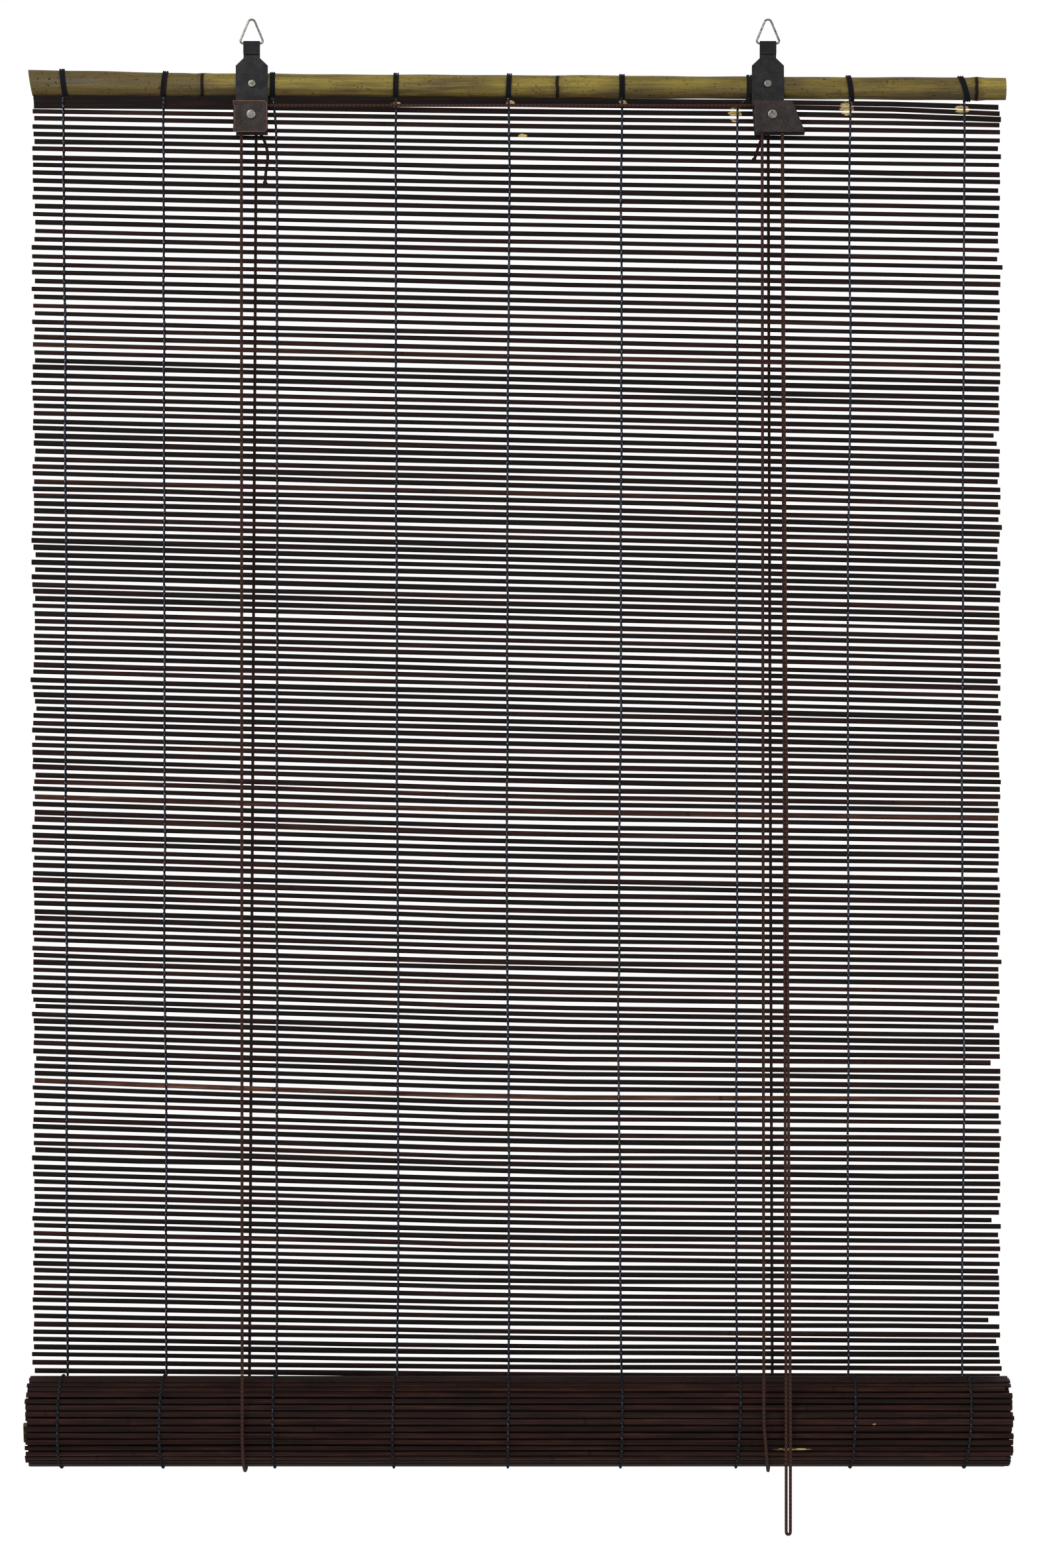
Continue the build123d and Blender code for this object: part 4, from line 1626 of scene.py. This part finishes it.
@dataclass
class Hardware:
    """Straps, rings, rivets and sheaves, as copies of the solids with their triangles joined."""

    frame: dict
    sheet_finish: Finish
    edge_finish: Finish
    nickel: Finish
    plastic: Finish
    weld: float = 0.000004
    flat_angle: float = 0.6
    crease: float = 35.0
    rimmed: Side = Side.LEFT
    rim: float = 0.38
    rim_area: float = 0.00002
    facing: float = -0.95
    level_gap: float = 0.00006

    def copy(self, node: str, name: str) -> Piece:
        """Copies a solid and joins its triangles up.

        Args:
            node: The solid.
            name: Name of the piece.

        Returns:
            The piece.
        """
        piece = add_object(name, self.frame["nodes"][node].data.copy())
        activate(piece)
        bpy.ops.object.mode_set(mode="EDIT")
        bpy.ops.mesh.select_all(action="SELECT")
        bpy.ops.mesh.remove_doubles(threshold=self.weld)
        bpy.ops.mesh.dissolve_limited(angle_limit=math.radians(self.flat_angle))
        bpy.ops.object.mode_set(mode="OBJECT")
        return piece

    def worn_rim(self, piece: Piece) -> None:
        """Gives the front plate of a strap a narrow rim of its second finish.

        Args:
            piece: The strap.
        """
        fronts = [face for face in piece.data.polygons if face.normal.y < self.facing]
        level = min(face.center.y for face in fronts if face.area > self.rim_area)
        clear_picks(piece, "FACE")
        for face in piece.data.polygons:
            face.select = face.normal.y < self.facing and abs(face.center.y - level) < self.level_gap
        bpy.ops.object.mode_set(mode="EDIT")
        bpy.ops.mesh.inset(thickness=self.rim * MM, use_boundary=True, use_even_offset=True,
                           use_select_inset=True)
        bpy.ops.object.mode_set(mode="OBJECT")
        for face in piece.data.polygons:
            if face.select:
                face.material_index = 1

    def strap(self, side: Side) -> Piece:
        """Makes a strap of bronzed sheet.

        Args:
            side: Which side.

        Returns:
            The piece.
        """
        node = f"{side.value}_bracket"
        strap = self.copy(node, f"{side.value}_strap")
        strap.data.materials.clear()
        strap.data.materials.append(self.sheet_finish)
        strap.data.materials.append(self.edge_finish)
        for face in strap.data.polygons:
            face.material_index = 0
        if side == self.rimmed:
            self.worn_rim(strap)
        smooth(strap, self.crease)
        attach(strap, Body.HEAD.value)
        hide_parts(node)
        return strap

    def build(self) -> list[Piece]:
        """Makes every metal piece.

        Returns:
            The pieces.
        """
        pieces = []
        for side in Side:
            pieces.append(self.strap(side))
            hand = side.value
            for node, name, body, slot, finish in (
                (f"{hand}_ring", f"{hand}_wire_ring", f"{hand}_ring", Slot.NICKEL, self.nickel),
                (f"{hand}_hanger_rivet", f"{hand}_upper_rivet", Body.HEAD.value, Slot.NICKEL, self.nickel),
                (f"{hand}_sheave_rivet", f"{hand}_lower_rivet", Body.HEAD.value, Slot.NICKEL, self.nickel),
                (f"{hand}_sheave", f"{hand}_grooved_sheave", f"{hand}_sheave", Slot.SHEAVE, self.plastic),
            ):
                piece = self.copy(node, name)
                smooth(piece, self.crease)
                dress(piece, body, [finish])
                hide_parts(node)
                pieces.append(piece)
        return pieces


@dataclass(frozen=True)
class FrontLine:
    """Places on the line from a sheave to the roll's front: below the plates, above the roll and on it."""

    upper: Point
    lower: Point
    meets: Point


@dataclass
class LiftCord:
    """The one lift cord, in the lengths that move differently."""

    finish: Finish
    roll: RollForm
    lift: RollLift
    cord: float = 2.5
    braid: float = 3.4
    sides: int = 10
    crease: float = 60.0
    closest: float = 0.00004
    # Sheaves, and the two layers of cord on the lock's sheave.
    sheave_circle: float = 8.4
    left_x: float = -219.0
    lock_x: float = 211.2
    axle_z: float = -25.6
    rear_y: float = -10.4
    front_y: float = -14.2
    straight_from: float = 20.0
    # Where the runs begin and end.
    left_low_x: float = -221.6
    right_low_x: float = 200.0
    right_back_x: float = 212.2
    fold_top: float = -43.0
    fold_low: float = -1056.0
    gap: float = 0.3
    back_top: float = -39.0
    # The pull cord and its loop.
    pull_x: Pair = (218.0, 221.4)
    loop_end: float = -1185.5
    loop_top: float = 2.6
    loop_ease: float = 0.1
    loop_steps: Pair = (20.0, 60.0)
    loop_rise: float = 4.0
    blend_from: float = 2.0
    blend_rise: float = 5.0
    # The tied ends.
    left_tie_x: float = -216.0
    right_tie_x: float = 208.8
    tie_z: float = -36.5
    tie_front: float = -8.1
    tie_middle: float = -3.0
    tie_bend: Point = (0.4, 1.3, 0.1)
    knot_y: float = 1.4
    knot_tilts: tuple[Point, ...] = ((0.5, 0.3, 0.2), (1.5, 0.6, 1.1))
    knot_ring: float = 0.52
    knot_crease: float = 70.0
    tie_size: float = 2.7
    stop_size: float = 2.1
    stop_shift: Point = (0.0, 0.2, 0.4)
    left_tail: tuple[Point, ...] = (
        (-214.2, 1.2, -36.4), (-209.4, 0.9, -43.2), (-206.6, 0.6, -52.5), (-206.2, 0.4, -62.0),
        (-208.2, 0.3, -71.0), (-208.4, 0.3, -79.6))
    right_tail: tuple[Point, ...] = (
        (207.0, 1.2, -36.4), (202.8, 0.9, -43.8), (199.9, 0.6, -52.0), (197.2, 0.4, -60.5))

    def line(self, name: str, route: Sequence[Point], fineness: int) -> list[Vector]:
        """Reads points from the smooth line of a route.

        Args:
            name: Name of the cord.
            route: Its points in millimetres.
            fineness: Points read per span.

        Returns:
            Points along the line, in metres.
        """
        data = bpy.data.curves.new(f"{name}_line", "CURVE")
        data.dimensions = "3D"
        data.resolution_u = fineness
        add_spline(data, route, order=3, closed=False)
        guide = add_object(f"{name}_line", data)
        bpy.context.view_layer.update()
        read = bpy.data.meshes.new_from_object(guide)
        points = [vertex.co.copy() for vertex in read.vertices]
        bpy.data.meshes.remove(read)
        bpy.data.objects.remove(guide)
        bpy.data.curves.remove(data)
        kept = [points[0]]
        for at in points[1:]:
            if (at - kept[-1]).length > self.closest:
                kept.append(at)
        return kept

    def hoops(self, path: Sequence[Vector]) -> list[Vector]:
        """Hoops of corners round a path, each turned no more than the path turns.

        Args:
            path: Points in metres.

        Returns:
            The corners, hoop by hoop.
        """
        radius = self.cord / 2 * MM
        ahead = (path[1] - path[0]).normalized()
        side = ahead.orthogonal().normalized()
        corners = []
        for count, at in enumerate(path):
            before = path[max(count - 1, 0)]
            after = path[min(count + 1, len(path) - 1)]
            now = (after - before).normalized()
            side = (ahead.rotation_difference(now) @ side).normalized()
            ahead = now
            across = now.cross(side)
            for step in range(self.sides):
                angle = math.tau * step / self.sides
                corners.append(at + (side * math.cos(angle) + across * math.sin(angle)) * radius)
        return corners

    def tube(self, name: str, route: Sequence[Point], fineness: int) -> tuple[Piece, list[Vector]]:
        """Makes a braided tube along a route, with a UV map that runs round it and along it.

        Args:
            name: Name of the piece.
            route: Its points in millimetres.
            fineness: Points read per span of the route.

        Returns:
            The piece and the points that it follows.
        """
        path = self.line(name, route, fineness)
        braids = [0.0]
        for before, at in zip(path, path[1:]):
            braids.append(braids[-1] + (at - before).length / (self.braid * MM))
        faces = []
        marks: list[Pair] = []
        for count, (low, high) in enumerate(zip(braids, braids[1:])):
            here = count * self.sides
            there = here + self.sides
            for step in range(self.sides):
                turn = (step + 1) % self.sides
                faces.append((here + step, here + turn, there + turn, there + step))
                near, far = step / self.sides, (step + 1) / self.sides
                marks += [(near, low), (far, low), (far, high), (near, high)]
        last = (len(path) - 1) * self.sides
        faces.append(tuple(reversed(range(self.sides))))
        faces.append(tuple(range(last, last + self.sides)))
        marks += [(step / self.sides, 0.0) for step in reversed(range(self.sides))]
        marks += [(step / self.sides, braids[-1]) for step in range(self.sides)]
        mesh = bpy.data.meshes.new(name)
        mesh.from_pydata(self.hoops(path), [], faces)
        layer = mesh.uv_layers.new(name="braid")
        layer.data.foreach_set("uv", np.array(marks, dtype=np.float32).ravel())
        piece = add_object(name, mesh)
        smooth(piece, self.crease)
        return piece, path

    def length_of(self, name: str, node: str, route: Sequence[Point], fineness: int, body: str | None) -> Piece:
        """Makes one length of the cord.

        Args:
            name: Name of the piece.
            node: The solid that it stands for.
            route: Its points in millimetres.
            fineness: Points read per span of the route.
            body: Name of the body that it rides on, or None if it rides on none.

        Returns:
            The piece.
        """
        piece, path = self.tube(name, route, fineness)
        dress(piece, body, [self.finish])
        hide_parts(node)
        return piece

    @staticmethod
    def circle_route(middle: Pair, circle: float, start: float, end: float, steps: int) -> list[Pair]:
        """Corners of the route of a cord that goes round a circle.

        Args:
            middle: Middle of the circle.
            circle: Its radius.
            start: Angle where the cord meets it, in degrees.
            end: Angle where the cord leaves it.
            steps: How many corners.

        Returns:
            The two coordinates of each corner, outside the circle.
        """
        step = math.radians(end - start) / steps
        reach = circle / math.cos(step / 2)
        corners = []
        for count in range(steps):
            angle = math.radians(start) + (count + 0.5) * step
            corners.append((middle[0] + reach * math.cos(angle), middle[1] + reach * math.sin(angle)))
        return corners

    def straight(self, name: str, node: str, top: Point, low: Point) -> Piece:
        """Makes a straight run on the head.

        Args:
            name: Name of the piece.
            node: The solid that it stands for.
            top: Its upper end.
            low: Its lower end.

        Returns:
            The piece.
        """
        middle = tuple((a + b) / 2 for a, b in zip(top, low))
        piece = self.length_of(name, node, [top, middle, low], fineness=16, body=Body.HEAD.value)
        self.lift.shorten(piece, top[2], low[2])
        return piece

    def front_line(self, x: float, y: float, low_x: float) -> FrontLine:
        """Finds the straight line from a sheave's side down to the roll's front.

        Args:
            x: X at the sheave.
            y: Y at the sheave.
            low_x: X at the roll.

        Returns:
            Places on the line.
        """
        top = (x, y, self.axle_z)
        low = (low_x, *self.roll.front_tangent(y, self.axle_z))
        shares = [(self.axle_z - z) / (self.axle_z - low[2]) for z in (self.fold_top, self.fold_low)]
        upper, lower = (tuple(a + (b - a) * share for a, b in zip(top, low)) for share in shares)
        return FrontLine(upper, lower, low)

    def front_run(self, name: str, node: str, line: FrontLine) -> Piece:
        """Makes the run between the plates and the roll's front.

        Args:
            name: Name of the piece.
            node: The solid that it stands for.
            line: Where it goes.

        Returns:
            The piece.
        """
        top = (line.upper[0], line.upper[1], line.upper[2] - self.gap)
        low = (line.lower[0], line.lower[1], line.lower[2] + self.gap)
        return self.straight(name, node, top, low)

    def under_roll(self, side: Side, line: FrontLine, back_x: float) -> Piece:
        """Makes the cord that goes down the roll's front and under it.

        Args:
            side: Which side.
            line: Where the run above it goes.
            back_x: X at the roll's back.

        Returns:
            The piece.
        """
        front_x, y, z = line.meets
        middle = (self.roll.y, self.roll.z)
        angle = math.atan2(z - self.roll.z, y - self.roll.y) % math.tau
        corners = self.circle_route(middle, self.roll.cord_circle, math.degrees(angle), 360, 6)
        route = [line.lower, tuple((a + b) / 2 for a, b in zip(line.lower, line.meets)), line.meets]
        for count, corner in enumerate(corners):
            share = (count + 0.5) / len(corners)
            route.append((front_x + (back_x - front_x) * share, *corner))
        route.append((back_x, self.roll.y + self.roll.cord_circle, self.roll.z))
        return self.length_of(f"{side.value}_under_roll", f"{side.value}_lift_loop", route, fineness=7,
                              body=Body.LOOPS.value)

    def back_run(self, side: Side, knot_x: float, low_x: float) -> Piece:
        """Makes the run behind the mat from the knot down to the roll's back.

        Args:
            side: Which side.
            knot_x: X at the knot.
            low_x: X at the roll.

        Returns:
            The piece.
        """
        low = (low_x, self.roll.y + self.roll.cord_circle, self.roll.z + self.gap)
        top = (knot_x, self.knot_y, self.back_top)
        return self.straight(f"{side.value}_back_run", f"{side.value}_back_cord", top, low)

    def across(self, first: Point, last: Point) -> Piece:
        """Makes the cord from the left sheave over to the lock's sheave.

        Args:
            first: Its end below the left plates.
            last: Its end below the lock's plates.

        Returns:
            The piece.
        """
        left = self.circle_route((self.left_x, self.axle_z), self.sheave_circle, 180, 90, 2)
        right = self.circle_route((self.lock_x, self.axle_z), self.sheave_circle, 90, 0, 2)
        top = self.axle_z + self.sheave_circle
        flat = [(self.left_x + self.straight_from, top), (self.lock_x - self.straight_from, top)]
        start = (self.left_x - self.sheave_circle, self.axle_z)
        end = (self.lock_x + self.sheave_circle, self.axle_z)
        route = [first, *((x, self.rear_y, z) for x, z in (start, *left, *flat, *right, end)), last]
        return self.length_of("cord_across", "cross_cord", route, fineness=12, body=Body.HEAD.value)

    def over_lock(self, first: Point, last: Point) -> Piece:
        """Makes the right front run's turn over the lock's sheave.

        Args:
            first: Its end below the plates, on the front run.
            last: Its end below the plates, on the pull cord.

        Returns:
            The piece.
        """
        corners = self.circle_route((self.lock_x, self.axle_z), self.sheave_circle, 180, 0, 4)
        start = (self.lock_x - self.sheave_circle, self.axle_z)
        end = (self.lock_x + self.sheave_circle, self.axle_z)
        route = [first, *((x, self.front_y, z) for x, z in (start, *corners, end)), last]
        return self.length_of("cord_over_lock", "lock_wrap_cord", route, fineness=8, body=Body.HEAD.value)

    def pull_loop(self, rear: Point, front: Point) -> Piece:
        """Makes the loop of the pull cord that hangs in front of the roll.

        Args:
            rear: Upper end of the first strand, above the roll.
            front: Upper end of the second strand.

        Returns:
            The piece.
        """
        y = self.roll.y - self.roll.cord_circle
        rear_x, front_x = self.pull_x
        spare = (front_x - rear_x) / 2
        low = self.loop_end + self.cord / 2 + spare
        bottom = self.circle_route((rear_x + spare, low), spare, 180, 360, 4)
        down = [(y + self.loop_ease, self.roll.z + self.loop_top)]
        down += [(y, self.roll.z - step) for step in self.loop_steps]
        down.append((y, low + self.loop_rise))
        route = [rear, *((rear_x, *at) for at in down), *((x, y, z) for x, z in bottom),
                 *((front_x, *at) for at in reversed(down)), front]
        piece = self.length_of("pull_loop", "pull_cord_loop", route, fineness=10, body=None)
        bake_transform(piece)
        return piece

    def knot(self, name: str, middle: Point, size: float) -> Piece:
        """Ties a small round knot from two rings of cord that cross.

        Args:
            name: Name of the piece.
            middle: Its middle, in millimetres.
            size: Its radius.

        Returns:
            The piece.
        """
        deselect_all()
        rings = []
        for tilt in self.knot_tilts:
            bpy.ops.mesh.primitive_torus_add(
                major_segments=18, minor_segments=8, major_radius=size * self.knot_ring * MM,
                minor_radius=size * (1 - self.knot_ring) * MM, rotation=tilt)
            rings.append(bpy.context.active_object)
        deselect_all()
        for ring in rings:
            ring.select_set(True)
        bpy.context.view_layer.objects.active = rings[0]
        bpy.ops.object.join()
        piece = name_new(name)
        bpy.ops.object.transform_apply(location=True, rotation=True, scale=True)
        place_vertices(piece, vertex_places(piece) + np.array(middle) * MM)
        smooth(piece, self.knot_crease)
        dress(piece, Body.HEAD.value, [self.finish])
        return piece

    def tied_end(self, side: Side, tie_x: float, tail: Sequence[Point]) -> list[Piece]:
        """Makes the cord's end: through the strap and the mat, a knot behind, and a loose tail with a knot.

        Args:
            side: Which side.
            tie_x: X of the hole in the strap.
            tail: Points of the tail, in millimetres.

        Returns:
            The pieces.
        """
        knot = self.knot(f"{side.value}_tie_knot", (tie_x, self.knot_y, self.tie_z), self.tie_size)
        end = tuple(a + b for a, b in zip(tail[-1], self.stop_shift))
        stop = self.knot(f"{side.value}_tail_knot", end, self.stop_size)
        bend_x, bend_y, bend_z = self.tie_bend
        route = [(tie_x, self.tie_front, self.tie_z), (tie_x, self.tie_middle, self.tie_z),
                 (tie_x + bend_x, bend_y, self.tie_z + bend_z), *tail]
        piece, path = self.tube(f"{side.value}_tail", route, fineness=6)
        dress(piece, Body.HEAD.value, [self.finish])
        for one in (piece, knot, stop):
            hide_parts(f"{side.value}_cord_knot")
        return [piece, knot, stop]

    def build(self) -> list[Piece]:
        """Makes every length of the cord.

        Returns:
            The pieces.
        """
        circle = self.sheave_circle
        left = self.front_line(self.left_x - circle, self.rear_y, self.left_low_x)
        right = self.front_line(self.lock_x - circle, self.front_y, self.right_low_x)
        rear = self.front_line(self.lock_x + circle, self.rear_y, self.pull_x[0])
        front = self.front_line(self.lock_x + circle, self.front_y, self.pull_x[1])
        return [
            self.front_run("left_front_run", "left_front_cord", left),
            self.front_run("right_front_run", "right_front_cord", right),
            self.under_roll(Side.LEFT, left, self.left_low_x),
            self.under_roll(Side.RIGHT, right, self.right_back_x),
            self.back_run(Side.LEFT, self.left_tie_x, self.left_low_x),
            self.back_run(Side.RIGHT, self.right_tie_x, self.right_back_x),
            self.across(left.upper, rear.upper),
            self.over_lock(right.upper, front.upper),
            self.front_run("pull_run_1", "pull_cord_strand_1", rear),
            self.front_run("pull_run_2", "pull_cord_strand_2", front),
            self.pull_loop(rear.lower, front.lower),
            *self.tied_end(Side.LEFT, self.left_tie_x, self.left_tail),
            *self.tied_end(Side.RIGHT, self.right_tie_x, self.right_tail),
        ]


@dataclass
class Studio:
    """Floor, lights, white background and camera."""

    distance: float = 3.2
    aim: Point = (0.0025, -0.003, -0.578)
    frame_height: float = 1.299
    sensor: float = 36.0
    farthest: float = 50.0
    floor_z: float = -2.0
    floor_size: float = 5.0
    floor_colour: Colour = (236, 236, 234)
    floor_roughness: float = 0.9
    surround: float = 0.62
    lamps: tuple[tuple[str, Point, float, float], ...] = (
        ("key_lamp", (-1.5, -2.6, 1.1), 1.5, 48.0), ("fill_lamp", (1.9, -2.2, -0.4), 1.8, 16.0),
        ("back_lamp", (0.4, 2.6, 0.9), 1.6, 22.0))

    def background(self) -> None:
        """Makes the world white to the camera and in reflections, and a softer light elsewhere."""
        world = bpy.data.worlds.new("studio_world")
        bpy.context.scene.world = world
        world.use_nodes = True
        nodes, links = world.node_tree.nodes, world.node_tree.links
        back = nodes["Background"]
        back.inputs["Color"].default_value = (1, 1, 1, 1)
        path = nodes.new("ShaderNodeLightPath")
        share = path.outputs["Is Camera Ray"]
        for name in ("Is Glossy Ray", "Is Transmission Ray"):
            both = nodes.new("ShaderNodeMath")
            both.operation = "MAXIMUM"
            links.new(share, both.inputs[0])
            links.new(path.outputs[name], both.inputs[1])
            share = both.outputs[0]
        level = nodes.new("ShaderNodeMapRange")
        level.inputs["To Min"].default_value = self.surround
        level.inputs["To Max"].default_value = 1.0
        links.new(share, level.inputs["Value"])
        links.new(level.outputs["Result"], back.inputs["Strength"])

    def lamp(self, name: str, at: Point, size: float, watts: float) -> None:
        """Adds a soft lamp that faces the blind.

        Args:
            name: Name of the lamp.
            at: Its place, in metres.
            size: Its side, in metres.
            watts: Its power.
        """
        data = bpy.data.lights.new(name, "AREA")
        data.size = size
        data.energy = watts
        lamp = add_object(name, data)
        lamp.location = at
        lamp.rotation_euler = (Vector(self.aim) - Vector(at)).to_track_quat("-Z", "Y").to_euler()

    def floor(self) -> None:
        """Lays the pale floor."""
        deselect_all()
        bpy.ops.mesh.primitive_plane_add(size=self.floor_size, location=(0, 0, self.floor_z))
        floor = name_new("studio_floor")
        tree = FinishTree("studio_floor")
        tree.set(Base_Color=linear(*self.floor_colour), Roughness=self.floor_roughness)
        floor.data.materials.append(tree.material)

    def camera(self) -> None:
        """Sets the camera square to the blind."""
        data = bpy.data.cameras.new("studio_camera")
        data.sensor_width = self.sensor
        data.lens = self.sensor * self.distance / self.frame_height
        data.clip_end = self.farthest
        camera = add_object("studio_camera", data)
        camera.location = (self.aim[0], self.aim[1] - self.distance, self.aim[2])
        camera.rotation_euler = (math.pi / 2, 0, 0)
        bpy.context.scene.camera = camera

    def build(self) -> None:
        """Sets up everything that isn't the blind."""
        bpy.context.scene.view_settings.view_transform = "Standard"
        self.background()
        for lamp in self.lamps:
            self.lamp(*lamp)
        self.floor()
        self.camera()


def main() -> None:
    """Builds the blind and its studio."""
    logging.basicConfig(level=logging.INFO, format="%(name)s %(message)s")
    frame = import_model()
    roll, lift = RollForm(), RollLift()
    rings = tuple((place + HeadRail.shift) * MM for place in HeadRail.node_places)
    mat = BambooMat(StainedBamboo().make(), roll, lift)
    rail = HeadRail(CulmSkin(ring_places=rings).make())
    cord = LiftCord(BraidedCord().make(), roll, lift)
    hardware = Hardware(frame, BronzedSheet().make(), BronzedSheet("worn_edge", worn=0.9).make(),
                        NickelPlate().make(), MouldedPlastic().make())
    pieces = [*cord.build(), rail.build(), mat.hang(), mat.wind()]
    pieces += WarpThreads(TwistedThread().make(), mat, rail, roll, lift).build()
    pieces += hardware.build()
    lath = frame["nodes"]["bottom_lath"]
    lath.data.materials.clear()
    lath.data.materials.append(CulmSkin("lath_skin").make())
    total = 0
    for piece in pieces:
        triangles = sum(len(face.vertices) - 2 for face in piece.data.polygons)
        LOG.info("%s has %d triangles", piece.name, triangles)
        total += triangles
    LOG.info("%d pieces, %d triangles", len(pieces), total)
    Studio().build()


if __name__ == "__main__":
    main()
